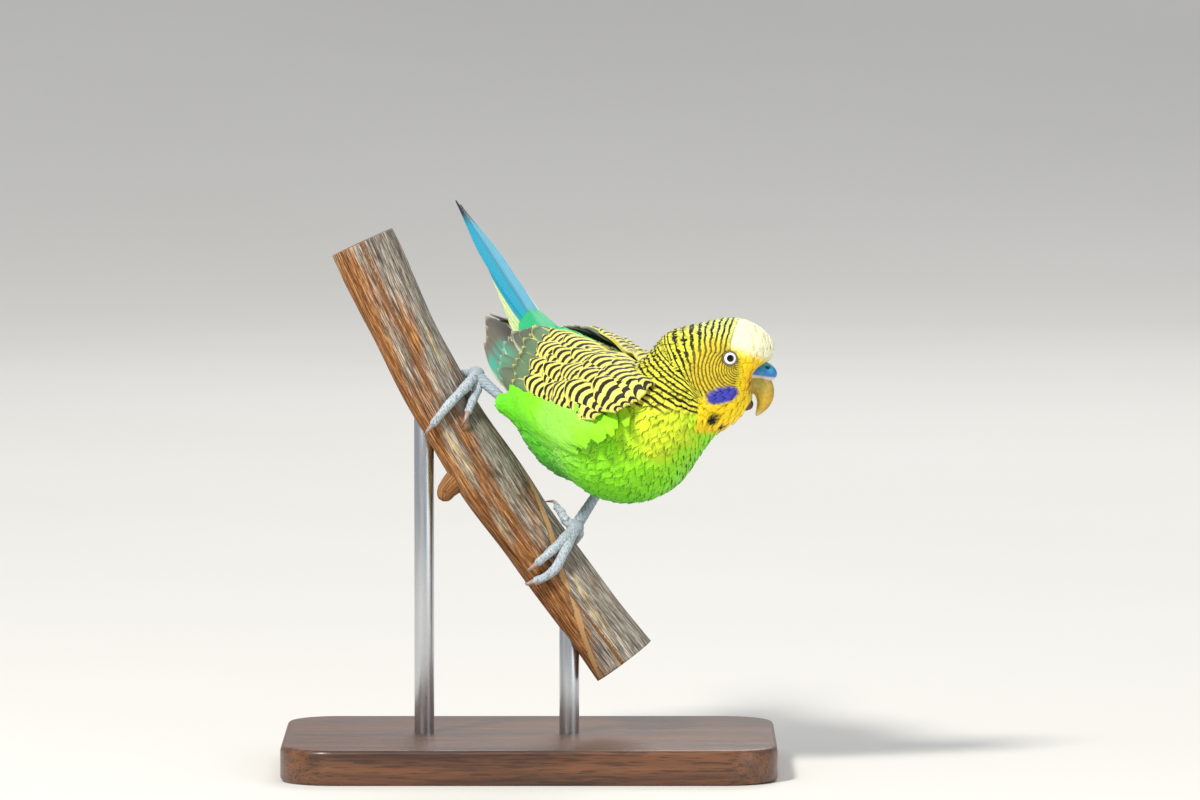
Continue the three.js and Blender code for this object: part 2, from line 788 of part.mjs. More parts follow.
const branch = branchSolid();
const rods = {};
let drilledBranch = branch;
let base = standBase();
for (const [name, x] of Object.entries(STAND.rodX)) {
  const radius = STAND.rodDiameter / 2;
  const top = branchUnderside(x) + STAND.socketDepth;
  const bottom = STAND.thickness - STAND.socketDepth;
  rods[name] = rodSolid(x, radius, bottom, top);
  const hole = rodSolid(x, radius + GAP, bottom - GAP, top + GAP);
  drilledBranch = drilledBranch.subtract(hole);
  base = base.subtract(hole);
}
show("perch_branch", largest(drilledBranch), 0xa9855c, 0.9);
show("stand_base", base, 0x5a3a22, 0.5);
for (const [name, rod] of Object.entries(rods)) show(name, rod, 0xb9bcc0, 0.35, 1);

for (const side of ["right", "left"]) {
  const { foot, claws } = footSolids(FEET[side]);
  show("foot_" + side, largest(foot.subtract(bodyWithGap)), 0xb9c4cc, 0.7);
  claws.forEach((claw, i) => show("claw_" + side + "_" + (i + 1), largest(claw.subtract(foot)), 0xc9a79a, 0.5));
  show("thigh_" + side, largest(thighSolid(FEET[side]).subtract(bodyWithGap).subtract(foot)), 0x8fd07a);
}

show("upper_bill", largest(bill.upper.subtract(aroundBill.cere)), 0xb9ad6a, 0.4);
show("lower_bill", largest(bill.lower.subtract(aroundBill.upper)), 0x7a4434, 0.5);

export default model;
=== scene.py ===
# %% [markdown]
# A budgerigar on a dead branch, life size, on a plain stand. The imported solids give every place
# and size. This lesson dresses them: one skin, about three thousand feathers as thin solid
# vanes, eyes, bill, feet, weathered wood and the stand. Lengths are worked out in millimetres
# and become metres when a mesh is made.

# %% Loading the frame
import math

import bmesh
import bpy
import numpy as np
from mathutils import Matrix, Vector, kdtree


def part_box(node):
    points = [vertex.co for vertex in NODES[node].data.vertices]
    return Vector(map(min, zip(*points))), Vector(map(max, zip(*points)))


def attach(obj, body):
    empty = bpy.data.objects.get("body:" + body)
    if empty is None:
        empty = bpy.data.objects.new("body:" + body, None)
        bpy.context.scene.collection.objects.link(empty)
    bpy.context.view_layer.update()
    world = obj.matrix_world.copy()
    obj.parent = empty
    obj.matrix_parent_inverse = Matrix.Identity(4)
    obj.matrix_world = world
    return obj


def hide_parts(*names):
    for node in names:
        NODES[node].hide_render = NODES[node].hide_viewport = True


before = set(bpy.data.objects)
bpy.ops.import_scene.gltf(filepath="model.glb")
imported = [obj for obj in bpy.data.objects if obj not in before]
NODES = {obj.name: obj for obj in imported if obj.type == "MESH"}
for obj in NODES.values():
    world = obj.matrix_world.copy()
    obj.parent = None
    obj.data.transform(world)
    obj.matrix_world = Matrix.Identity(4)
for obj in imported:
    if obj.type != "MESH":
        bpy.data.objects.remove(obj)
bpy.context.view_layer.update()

MM = 0.001
draw = np.random.default_rng(7)
print("solids:", len(NODES))

# %% [markdown]
# The camera comes first, because every size in the picture follows from it. The photograph was
# taken with a long lens from a little above the bird, so the lens is long and looks 4 degrees
# down. One millimetre at the bird is 4.4 of the photograph's pixels.

# %% Camera
PHOTO_WIDTH = 1200
PIXELS_PER_MM = 4.4
LENS, SENSOR = 300, 36
LOOK_DOWN = math.radians(4)
AIM = Vector((16, 0, 84)) * MM

camera_data = bpy.data.cameras.new("camera")
camera_data.lens = LENS
camera_data.sensor_width = SENSOR
camera_data.clip_end = 20
camera = bpy.data.objects.new("camera", camera_data)
bpy.context.scene.collection.objects.link(camera)
distance = PHOTO_WIDTH / PIXELS_PER_MM * MM * LENS / SENSOR
view_from = Vector((0, -math.cos(LOOK_DOWN), math.sin(LOOK_DOWN)))
camera.location = AIM + view_from * distance
camera.rotation_euler = (-view_from).to_track_quat("-Z", "Y").to_euler()
bpy.context.scene.camera = camera
print("camera distance", round(distance, 3), "m")

# %% [markdown]
# Every mesh below is linked, rides on the one body of this still model, and stands in for the
# solids that it dresses. One helper does that for all of them.

# %% Showing a piece
def show(mesh, name, material, nodes=()):
    """A mesh in metres becomes a piece that stands in for the named solids."""
    piece = bpy.data.objects.new(name, mesh)
    bpy.context.scene.collection.objects.link(piece)
    mesh.materials.clear()
    mesh.materials.append(material)
    mesh.shade_smooth()
    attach(piece, "root")
    if nodes:
        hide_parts(*nodes)
    print(name, len(mesh.polygons), "faces")
    return piece


def finished(bm, name):
    """Closes a bmesh that was shaped in millimetres and hands over its mesh in metres."""
    bmesh.ops.recalc_face_normals(bm, faces=bm.faces[:])
    bmesh.ops.scale(bm, vec=(MM, MM, MM), verts=bm.verts[:])
    mesh = bpy.data.meshes.new(name)
    bm.to_mesh(mesh)
    bm.free()
    return mesh


def corners(bm):
    return np.array([v.co for v in bm.verts], float)


def move_corners(verts, places):
    for vert, place in zip(verts, places):
        vert.co = place


# %% [markdown]
# A finish is a small graph of shader nodes. These helpers keep each recipe to a few lines. A
# finish that several materials share is a node group: it is built once, with named inputs and
# outputs, and placed in each material with its own values. The colours are given as the eye sees
# them and turned into the linear values that light needs.

# %% Making materials
def paint(code):
    """#rrggbb as linear red, green and blue."""
    shown = np.array([int(code[i : i + 2], 16) for i in (1, 3, 5)]) / 255
    return np.where(shown < 0.04045, shown / 12.92, ((shown + 0.055) / 1.055) ** 2.4)


class Graph:
    """A node tree, with a short call for each kind of node."""

    def __init__(self, tree):
        self.tree = tree

    def feed(self, target, value):
        if isinstance(value, bpy.types.NodeSocket):
            self.tree.links.new(value, target)
        elif isinstance(value, (float, int)):
            target.default_value = value
        else:
            target.default_value = (*value, 1) if len(target.default_value) == 4 else tuple(value)

    def node(self, kind, output, settings, inputs):
        made = self.tree.nodes.new("ShaderNode" + kind)
        for key, value in settings.items():
            setattr(made, key, value)
        for key, value in inputs.items():
            self.feed(made.inputs[key], value)
        return made.outputs[output]

    def attribute(self, name, output="Vector"):
        return self.node("Attribute", output, {"attribute_name": name}, {})

    def part(self, vector, axis):
        return self.node("SeparateXYZ", axis, {}, {0: vector})

    def maths(self, operation, a, b=0.0, c=0.0):
        return self.node("Math", 0, {"operation": operation}, {0: a, 1: b, 2: c})

    def place(self):
        return self.node("TexCoord", "Object", {}, {})

    def noise(self, vector, scale, detail=3.0, rough=0.5, distortion=0.0):
        inputs = {"Vector": vector, "Scale": scale, "Detail": detail, "Roughness": rough, "Distortion": distortion}
        return self.node("TexNoise", "Fac", {}, inputs)

    def stretched(self, vector, scale):
        return self.node("Mapping", 0, {}, {"Vector": vector, "Scale": scale})

    def between(self, value, low, high, out_low=0.0, out_high=1.0):
        settings = {"interpolation_type": "SMOOTHSTEP"}
        return self.node("MapRange", 0, settings, {0: value, 1: low, 2: high, 3: out_low, 4: out_high})

    def blended(self, amount, a, b, how="MIX"):
        mixer = self.tree.nodes.new("ShaderNodeMix")
        mixer.data_type = "RGBA"
        mixer.blend_type = how
        for index, value in ((0, amount), (6, a), (7, b)):
            self.feed(mixer.inputs[index], value)
        return mixer.outputs[2]

    def raised(self, height, strength, depth, below=None):
        """A bump so deep in metres, over another bump's normal if one is given."""
        inputs = {"Height": height, "Strength": strength, "Distance": depth}
        if below:
            inputs["Normal"] = below
        return self.node("Bump", 0, {}, inputs)

    def placed(self, effect, **values):
        """Places a node group and gives its outputs."""
        made = self.tree.nodes.new("ShaderNodeGroup")
        made.node_tree = effect.tree
        for label, value in values.items():
            self.feed(made.inputs[label], value)
        return made.outputs


class Effect(Graph):
    """A node group with named inputs and outputs."""

    def __init__(self, name, inputs, outputs):
        super().__init__(bpy.data.node_groups.new(name, "ShaderNodeTree"))
        for direction, sockets in (("INPUT", inputs), ("OUTPUT", outputs)):
            for label, kind in sockets.items():
                self.tree.interface.new_socket(name=label, in_out=direction, socket_type="NodeSocket" + kind)
        self.given = self.tree.nodes.new("NodeGroupInput").outputs
        self.results = self.tree.nodes.new("NodeGroupOutput").inputs

    def done(self, **links):
        for label, value in links.items():
            self.tree.links.new(value, self.results[label])
        return self


class Recipe(Graph):
    """A material. Plain settings are set on its surface, and done() links the rest."""

    def __init__(self, name, **settings):
        self.material = bpy.data.materials.new(name)
        self.material.use_nodes = True
        super().__init__(self.material.node_tree)
        self.surface = self.tree.nodes["Principled BSDF"]
        for socket, value in settings.items():
            self.surface.inputs[socket.replace("_", " ")].default_value = value

    def done(self, **links):
        for socket, value in links.items():
            self.tree.links.new(value, self.surface.inputs[socket.replace("_", " ")])
        return self.material


# %% [markdown]
# Floor and light. A pale sweep stands for the studio floor and wall: a plane whose far part
# curves up. A large soft lamp at the upper left takes the sun's place, and a weaker one and a pale
# surround fill the shadows.

# %% Floor and lights
def sweep():
    bm = bmesh.new()
    bmesh.ops.create_grid(bm, x_segments=2, y_segments=60, size=1)
    half_width, near, flat_until, rise = 4.0, -3.0, 1.6, 2.5
    for vert in bm.verts:
        along = near + (vert.co.y + 1) / 2 * (flat_until + 2 * rise - near)
        past = max(0, along - flat_until)
        turn = min(past / rise, math.pi / 2)
        up = rise * (1 - math.cos(turn)) + max(0, past - rise * math.pi / 2)
        vert.co = (vert.co.x * half_width, min(along, flat_until) + rise * math.sin(turn), up)
    mesh = bpy.data.meshes.new("floor")
    bm.to_mesh(mesh)
    bm.free()
    return mesh


backdrop = Recipe("pale_floor", Base_Color=(*paint("#e2e0da"), 1), Roughness=0.9)
mottle = backdrop.noise(backdrop.place(), 3.0)
backdrop.done(Base_Color=backdrop.blended(mottle, paint("#dddbd4"), paint("#e6e4df")))
floor_mesh = sweep()
floor_mesh.materials.append(backdrop.material)
floor_mesh.shade_smooth()
floor = bpy.data.objects.new("floor", floor_mesh)
bpy.context.scene.collection.objects.link(floor)


def lamp(name, place, size, power, colour):
    data = bpy.data.lights.new(name, "AREA")
    data.size = size
    data.energy = power
    data.color = colour
    light = bpy.data.objects.new(name, data)
    bpy.context.scene.collection.objects.link(light)
    light.location = place
    light.rotation_euler = (Vector(place) - AIM).to_track_quat("Z", "Y").to_euler()


lamp("key", (-0.75, -1.15, 1.35), 0.3, 36, (1, 0.97, 0.91))
lamp("fill", (1.5, -1.2, 0.5), 1.2, 9, (0.93, 0.96, 1))
lamp("rim", (0.3, 1.3, 1.2), 0.8, 9, (1, 1, 1))
world = bpy.data.worlds.new("surround")
world.use_nodes = True
world.node_tree.nodes["Background"].inputs[0].default_value = (0.9, 0.93, 1, 1)
world.node_tree.nodes["Background"].inputs[1].default_value = 0.5
bpy.context.scene.world = world
bpy.context.scene.view_settings.view_transform = "Standard"

# %% [markdown]
# The bird's own directions. The trunk and the head each face their own way, and all marks are
# told in one of these two frames: so far forward, to the bird's left, and up.

# %% Trunk and head frames
def facing(turn, pitch, roll):
    """Rows forward, left and up of something turned from facing the viewer towards +X."""
    t, p = math.radians(turn), math.radians(pitch)
    forward = Vector((math.cos(p) * math.sin(t), -math.cos(p) * math.cos(t), math.sin(p)))
    left = Matrix.Rotation(math.radians(roll), 3, forward) @ Vector((math.cos(t), math.sin(t), 0))
    return np.array([forward, left, forward.cross(left)])


TRUNK, TRUNK_MIDDLE = facing(26, -18, 6), np.array([17, -13, 83.5])
HEAD, HEAD_MIDDLE = facing(82, -8, 0), np.array([44.8, -33, 94.8])
NECK = facing(62, 22, 0)


def in_trunk(forward, left, up):
    return TRUNK_MIDDLE + np.array([forward, left, up]) @ TRUNK


def in_head(forward, left, up):
    return HEAD_MIDDLE + np.array([forward, left, up]) @ HEAD


def trunk_place(points):
    return np.moveaxis((points - TRUNK_MIDDLE) @ TRUNK.T, -1, 0)


def head_place(points):
    return np.moveaxis((points - HEAD_MIDDLE) @ HEAD.T, -1, 0)


def smooth(low, high, value):
    t = np.clip((value - low) / (high - low), 0, 1)
    return t * t * (3 - 2 * t)


def mix(a, b, share):
    return a + (b - a) * share


def unit(vectors):
    return vectors / np.linalg.norm(vectors, axis=-1, keepdims=True)


# %% [markdown]
# The body's surface. The solids of the trunk, neck, head and thighs were cut from egg shapes that
# melt into one another. The same shapes as one function give the distance to that surface from
# any point, so that skin and feathers can be laid under or on it exactly, with no seam.

# %% The body as a distance
EGGS = [
    (TRUNK, in_trunk(-21, 0, 1), (17, 9.5, 8)),
    (TRUNK, in_trunk(-6, -0.5, -4.3), (20, 16.3, 15.6)),
    (TRUNK, in_trunk(12, 0, -1.5), (17.5, 17, 16)),
    (NECK, in_trunk(20, 5, 6), (14, 12.5, 12)),
    (HEAD, in_head(-8, 0, -1.5), (9.5, 9, 8.5)),
    (HEAD, in_head(-0.6, 0, 0.4), (8.4, 8.7, 9.2)),
    (HEAD, in_head(3, 0, 3), (7, 5.6, 5.8)),
    (HEAD, in_head(-0.7, 0, -6.6), (7.3, 7.4, 8)),
]
MELT = 4.5
THIGHS = [(in_trunk(-5, -9, -6), in_trunk(-12.5, -17.5, -2.5)), (in_trunk(-4, 6, -9), in_trunk(-7, 5, -21))]
THIGH_MELT = 2.5
FARTHEST, HALVINGS = 45, 22


def melted(a, b, melt):
    blend = np.maximum(melt - np.abs(a - b), 0) / melt
    return np.minimum(a, b) - blend * blend * melt / 4


def thigh_depth(points, thigh):
    hip, ankle = thigh
    bone = ankle - hip
    share = np.clip((points - hip) @ bone / (bone @ bone), 0, 1)
    away = np.linalg.norm(points - hip - share[..., None] * bone, axis=-1)
    return away - mix(6.8, 2.6, share)


def skin_depth(points):
    """Distance outside the body's surface, or below zero inside it."""
    field = None
    for axes, middle, half in EGGS:
        local = (points - middle) @ (axes.T / np.array(half))
        egg = (np.linalg.norm(local, axis=-1) - 1) * min(half)
        field = egg if field is None else melted(field, egg, MELT)
    for thigh in THIGHS:
        field = melted(field, thigh_depth(points, thigh), THIGH_MELT)
    return field


def outward(points, step=0.3):
    base = skin_depth(points)
    slopes = [skin_depth(points + step * axis) - base for axis in np.eye(3)]
    return unit(np.stack(slopes, -1))


def settle(points, height, rounds=2):
    """Moves points along the surface's own normal until they lie at a height above it."""
    for _ in range(rounds):
        normal = outward(points)
        points = points - normal * (skin_depth(points) - height)[..., None]
    return points


def leave_skin(start, ray, height=0.0):
    """Where a ray from inside leaves the surface, found by halving the span that holds it."""
    near = np.zeros(ray.shape[:-1])
    far = near + FARTHEST
    for _ in range(HALVINGS):
        half = (near + far) / 2
        inside = skin_depth(start + ray * half[..., None]) < height
        near, far = np.where(inside, half, near), np.where(inside, far, half)
    return start + ray * near[..., None]


# %% [markdown]
# A curve through a few points is needed for the body's middle line, the toes and the branch. It
# is sampled once, evenly by length, and then read by share.

# %% Curves
class Curve:
    """A centripetal curve through points, read by its share of the length from 0 to 1."""

    def __init__(self, points, samples=400):
        p = np.array(points, float)
        p = np.vstack([2 * p[0] - p[1], p, 2 * p[-1] - p[-2]])
        made = []
        for i in range(1, len(p) - 2):
            quad = p[i - 1 : i + 3]
            knots = np.concatenate([[0], np.cumsum(np.linalg.norm(np.diff(quad, axis=0), axis=1) ** 0.5)])
            t = np.linspace(knots[1], knots[2], samples, endpoint=i == len(p) - 3)[:, None]
            level = list(quad)
            for span in (1, 2, 3):
                level = [
                    level[k] + (level[k + 1] - level[k]) * (t - knots[k]) / (knots[k + span] - knots[k])
                    for k in range(len(level) - 1)
                ]
            made.append(level[0])
        path = np.vstack(made)
        self.lengths = np.concatenate([[0], np.cumsum(np.linalg.norm(np.diff(path, axis=0), axis=1))])
        self.path, self.length = path, self.lengths[-1]

    def at(self, share):
        place = np.clip(share, 0, 1) * self.length
        return np.stack([np.interp(place, self.lengths, self.path[:, k]) for k in range(3)], -1)

    def tangent(self, share):
        share = np.clip(share, 0.002, 0.998)
        return unit(self.at(share + 0.002) - self.at(share - 0.002))


middle_line = Curve(
    [in_trunk(-27, 0, 4), in_trunk(-6, 0, 0), in_trunk(9, 1, 0), in_trunk(19, 6, 5), in_head(-1.5, 0, -0.5)]
)
print("middle line", round(middle_line.length, 1), "mm")

# %% [markdown]
# The skin is one closed ball drawn out along the middle line: each of its rings is a cut across
# the bird, and each corner is pushed out until it lies a coat's depth under the feathered surface.
# Where the skin's rings and spokes run gives its unwrap, which the feathers share.

# %% The skin's shape
TAIL_CAP, FACE_CAP = 0.09, 0.84
BILL_ROOT = in_head(8.2, 0, -2.6)


def coat_depth(points):
    body = mix(0.55, 1.1, smooth(9, 20, np.linalg.norm(points - HEAD_MIDDLE, axis=-1)))
    return body + 1.6 * smooth(6, 3.2, np.linalg.norm(points - BILL_ROOT, axis=-1))


def skin_point(share, angle):
    """Where the skin lies at a share of the way from rump to face and an angle round it."""
    along = np.clip((share - TAIL_CAP) / (FACE_CAP - TAIL_CAP), 0, 1)
    behind = np.maximum(0, 1 - share / TAIL_CAP)
    ahead = np.maximum(0, (share - FACE_CAP) / (1 - FACE_CAP))
    tilt = ((ahead - behind) * math.pi / 2)[:, None]
    turn = smooth(0.1, 1, along)[:, None]
    normal = unit(mix(TRUNK[0], HEAD[0], turn))
    side = mix(TRUNK[1], HEAD[1], turn)
    side = unit(side - normal * np.sum(side * normal, axis=1, keepdims=True))
    rise = np.cross(normal, side)
    ray = (side * np.cos(angle)[:, None] + rise * np.sin(angle)[:, None]) * np.cos(tilt) + normal * np.sin(tilt)
    start = middle_line.at(along)
    found = leave_skin(start, ray)
    return leave_skin(start, ray, -coat_depth(found))


def skin_shape():
    bm = bmesh.new()
    bmesh.ops.create_uvsphere(bm, u_segments=110, v_segments=130, radius=1)
    ball = corners(bm)
    share = np.arccos(np.clip(-ball[:, 2], -1, 1)) / math.pi
    angle = np.arctan2(ball[:, 1], ball[:, 0])
    places = skin_point(share, angle)
    move_corners(bm.verts, places)
    layer = bm.loops.layers.uv.new("OFBake")
    bm.verts.index_update()
    for face in bm.faces:
        around = [angle[loop.vert.index] for loop in face.loops]
        pole = [abs(ball[loop.vert.index, 2]) > 0.9999 for loop in face.loops]
        turns = [a for a, at_pole in zip(around, pole) if not at_pole]
        wraps = max(turns) - min(turns) > math.pi
        for loop, a, at_pole in zip(face.loops, around, pole):
            a = sum(turns) / len(turns) if at_pole and not wraps else a
            a = a + 2 * math.pi if wraps and a < 0 else a
            loop[layer].uv = (0.5 + a / (2 * math.pi) * 0.98, 0.01 + 0.98 * share[loop.vert.index])
    return bm, places


skin_bm, skin_places = skin_shape()
print("skin corners", len(skin_places))

# %% [markdown]
# The markings. One function gives, for any place on the bird, the ground colour and the dark bars
# over it: how far along the row of bars the place is, and how strong and how wide they are there.
# Skin and feathers both ask it, so they carry the same pattern. The face is a cream forehead and
# a yellow mask with a violet cheek patch and black throat spots, the crown, nape and neck are
# yellow with black bars that follow the neck, and the rest is green. The green turns yellower on
# the upper breast, partly its own wash and partly painted highlight, and darker on the underside,
# partly the vent's own tone and partly painted shade.

# %% Markings
CREAM, MASK, MASK_DEEP = paint("#fbf8d2"), paint("#ffdf12"), paint("#f7b608")
BARRED, CROWN, CHEEK = paint("#e0dc3c"), paint("#d9e07c"), paint("#d9bb22")
BREAST, BELLY, LOW_BELLY_AND_SHADE = paint("#8fe614"), paint("#5fd41a"), paint("#2fa312")
YELLOW_WASH_AND_HIGHLIGHT, FLANK, RUMP = paint("#d0e428"), paint("#a4e070"), paint("#1ccf6a")
VIOLET, BLACK = paint("#4244b4"), paint("#12100c")
SPOTS = [((-0.8, 6.4, -12.9), 1.5), ((1.1, 2.6, -14.7), 1.0)]
ROW_SCALE = 1.5
lie_line = Curve(
    [in_trunk(-27, 0, 4), in_trunk(-6, 0, 0), in_trunk(9, 1, 0), in_trunk(18, 5, 4)]
    + [in_head(-9, 0, -2.5), in_head(-4.5, 0, -0.6), in_head(1, 0, -0.5)]
)
PATH_STEPS, PORTION = 119, 40000
path_samples = lie_line.at(np.linspace(0, 1, PATH_STEPS + 1))
path_tangents = lie_line.tangent(np.linspace(0, 1, PATH_STEPS + 1))


def behind_head(points):
    """Distance back along the middle line from the head's middle."""
    flat = points.reshape(-1, 3)
    out = np.empty(len(flat))
    for start in range(0, len(flat), PORTION):
        part = flat[start : start + PORTION]
        near = np.argmin(((path_samples**2).sum(1) - 2 * part @ path_samples.T), axis=1)
        ahead = np.sum((part - path_samples[near]) * path_tangents[near], axis=1)
        out[start : start + PORTION] = (1 - near / PATH_STEPS) * lie_line.length - ahead - 2.5
    return out.reshape(points.shape[:-1])


def wander(points, scale):
    """A smooth fixed wobble between -1 and 1."""
    x, y, z = np.moveaxis(points * scale, -1, 0)
    bent_x, bent_y = x * 1.7 + 2 * np.sin(y * 1.1), y * 1.9 + 1.3 * np.sin(z * 1.3 + 1)
    return (np.sin(bent_x) + np.sin(bent_y) + np.sin(z * 2.1 + x)) / 3


def over(below, colour, share):
    return mix(below, colour, np.clip(share, 0, 1)[..., None])


def markings(points):
    f, left, u = head_place(points)
    tf, _, tu = trunk_place(points)
    away = np.linalg.norm(points - HEAD_MIDDLE, axis=-1)
    on_head = smooth(22, 17, away)
    wave = wander(points, 0.5)
    back = behind_head(points)

    tint = over(BELLY[None], BREAST, smooth(-12, 14, tu + 0.5 * tf)).reshape(points.shape)
    # Darker green low on the underside: partly the vent's own darker green, partly painted shade where the body turns
    # away from the light.
    tint = over(tint, LOW_BELLY_AND_SHADE, smooth(-6, -17, tu + 0.25 * tf + wave))
    # Painted highlight: the upper breast turns lighter and yellower, partly the breast's own yellow wash and partly
    # painted sunlight.
    tint = over(tint, YELLOW_WASH_AND_HIGHLIGHT, smooth(13, 3, np.linalg.norm(points - in_trunk(30, 0, 7), axis=-1) + 2 * wave))
    tint = over(tint, FLANK, smooth(13, 6, np.linalg.norm(points - in_trunk(12, -14, 5), axis=-1) + 2 * wave) * 0.4)
    tint = over(tint, RUMP, smooth(-14, -22, tf))

    near_head = smooth(30, 20, away)
    on_back, on_neck = smooth(10.2, 11.6, tu + 0.8 * wave), smooth(-12.6, -11.4, u + 0.8 * wave)
    barred = mix(on_back, on_neck, near_head) * smooth(-2, 6, tf)
    under_cheek = -5.4 - 0.38 * np.maximum(0, 3 - f)
    front = mix(3.4, 0.7, smooth(1.2, 4.2, u))
    barred_head = smooth(-0.3, 0.5, u - under_cheek) * smooth(0.5, -0.5, f - front)
    face = on_head * smooth(-4.9, -3.9, f + 0.5 * wave) * smooth(-16.6, -15.4, u)
    barred = np.where(face > 0.5, barred_head, barred)
    tint = over(tint, BARRED, barred)
    tint = over(tint, CROWN, barred * on_head * smooth(4, 8, u))
    cheek = barred * on_head * smooth(8.5, 5, np.hypot(f + 1, u + 1.5))
    tint = over(tint, CHEEK, cheek * 0.8)
    mask = face * (1 - barred_head)
    tint = over(tint, MASK, mask)
    tint = over(tint, MASK_DEEP, mask * smooth(5, 2, np.hypot(f - 9, u + 2.5)) * 0.6)
    tint = over(tint, MASK_DEEP, mask * smooth(-13, -17, u) * 0.4)
    cream = mask * smooth(2.6, 5, u + 0.25 * f - 0.5)
    tint = over(tint, CREAM, cream)

    patch_f, patch_u = f - 0.5, u + 6.9
    patch = np.hypot((patch_f * 0.9 + patch_u * 0.42) / 3.5, (patch_u * 0.9 - patch_f * 0.42) / 1.9)
    in_patch = smooth(1.08, 0.94, patch + 0.08 * wander(points, 3)) * (np.abs(left) > 4) * on_head
    tint = over(tint, VIOLET, in_patch)
    spot = np.zeros(f.shape)
    for (sf, sl, su), radius in SPOTS:
        gap = np.sqrt((f - sf) ** 2 + (np.abs(left) - sl) ** 2 + (u - su) ** 2)
        spot = np.maximum(spot, smooth(radius + 0.15, radius - 0.1, gap) * on_head)
    tint = over(tint, BLACK, spot)
    strength = barred * (1 - in_patch) * (1 - spot)

    crown_rows = np.where(back < 7, back / 1.5, 7 / 1.5 + (back - 7) / mix(1.2, 1.55, smooth(8, 22, back)))
    cheek_rows = 10 * np.log1p(np.hypot(f - 3, u + 0.6) / 5.5) - 6.8
    round_eye = smooth(7.5, 4.5, np.hypot(f + 0.6, (u + 2.2) * 0.85)) * smooth(4, 2.2, u) * (np.abs(left) > 2)
    rows = mix(crown_rows, cheek_rows, round_eye)
    rows = ROW_SCALE * rows + mix(0.14, 0.04, cheek) * wander(points, 1.1)
    width = mix(mix(0.36, 0.4, cheek), 0.3, smooth(4, 8, u) * on_head)
    return tint, rows, strength * mix(1, 0.75, cheek), width


def carry(mesh, name, kind, values):
    """Stores one value for each corner of a mesh under a name."""
    field = {"FLOAT_COLOR": "color", "FLOAT_VECTOR": "vector", "FLOAT": "value"}[kind]
    layer = mesh.attributes.new(name, kind, "POINT")
    layer.data.foreach_set(field, np.ascontiguousarray(values, np.float32).ravel())


def carry_plumage(mesh, tint, rows, strength, width, blade):
    """The plumage's three attributes: ground colour, bars, and the place on each vane."""
    carry(mesh, "tint", "FLOAT_COLOR", np.concatenate([tint, np.ones((*tint.shape[:-1], 1))], -1))
    carry(mesh, "bars", "FLOAT_VECTOR", np.stack([rows, strength, width], -1))
    carry(mesh, "blade", "FLOAT_VECTOR", blade)


# %% [markdown]
# The plumage's finish reads those attributes. The bars are a wave along the rows, cut sharp at
# the width asked for. Each vane also shows its fine barbs, slanted off the shaft, as a slight
# change of colour and a shallow bump. Body, wings and tail share these marks as one node group,
# and each has its own dark colour and its own sheen.

# %% Plumage finish
def feather_marks():
    inputs = {"Bars": "Vector", "Blade": "Vector", "Place": "Vector", "Tint": "Color", "Dark": "Color"}
    mat = Effect("feather_marks", inputs, {"Color": "Color", "Normal": "Vector"})
    rows, strength, width = (mat.part(mat.given["Bars"], axis) for axis in "XYZ")
    wave = mat.maths("COSINE", mat.maths("MULTIPLY", rows, 2 * math.pi))
    wave = mat.maths("MULTIPLY_ADD", wave, 0.5, 0.5)
    edge = mat.maths("SUBTRACT", 1.0, width)
    excess = mat.maths("SUBTRACT", wave, edge)
    mask = mat.maths("MULTIPLY", mat.between(excess, -0.1, 0.12), strength)
    across, along, chance = (mat.part(mat.given["Blade"], axis) for axis in "XYZ")
    slant = mat.maths("MULTIPLY_ADD", mat.maths("ABSOLUTE", across), -0.8, along)
    barbs = mat.maths("SINE", mat.maths("MULTIPLY", slant, 17.0))
    grain = mat.noise(mat.given["Place"], 1800.0, 4.0, 0.6)
    fine = mat.maths("MULTIPLY_ADD", barbs, 0.22, grain)
    shade = mat.between(fine, 0.1, 0.95, 0.8, 1.16)
    value = mat.maths("MULTIPLY", shade, mat.maths("MULTIPLY_ADD", chance, 0.045, 1.0))
    toned = mat.node("HueSaturation", 0, {}, {"Color": mat.given["Tint"], "Value": value})
    colour = mat.blended(mask, toned, mat.given["Dark"])
    return mat.done(Color=colour, Normal=mat.raised(fine, 0.35, 0.12 * MM))


def plumage(name, dark, sheen, rough=0.62):
    mat = Recipe(name, Roughness=rough, Sheen_Weight=sheen, Sheen_Roughness=0.4, Specular_IOR_Level=0.3)
    marks = mat.placed(
        feather_effect,
        Bars=mat.attribute("bars"),
        Blade=mat.attribute("blade"),
        Place=mat.place(),
        Tint=mat.attribute("tint", "Color"),
        Dark=paint(dark),
    )
    return mat.done(Base_Color=marks["Color"], Normal=marks["Normal"])


feather_effect = feather_marks()
body_plumage = plumage("body_plumage", "#17140c", 0.25)
wing_plumage = plumage("wing_plumage", "#1a1712", 0.15)
tail_plumage = plumage("tail_plumage", "#0c0f18", 0.12, 0.5)

skin_mesh = finished(skin_bm, "skin")
tint, rows, strength, width = markings(skin_places + outward(skin_places))
# The skin takes the plumage's colour a fifth darker: painted shade for the gaps between the vanes.
carry_plumage(skin_mesh, tint * 0.8, rows, strength, width, np.zeros((len(skin_places), 3)))
show(skin_mesh, "skin", body_plumage, ["torso", "neck", "head", "thigh_right", "thigh_left"])

# %% [markdown]
# A feather is a thin closed plate: a small grid, made solid, with a rounded end. The grid is made
# once by operators, and then thousands of copies are laid out from arrays, because an operator
# call for each feather would take minutes. A vane has the same corners wherever it lies.

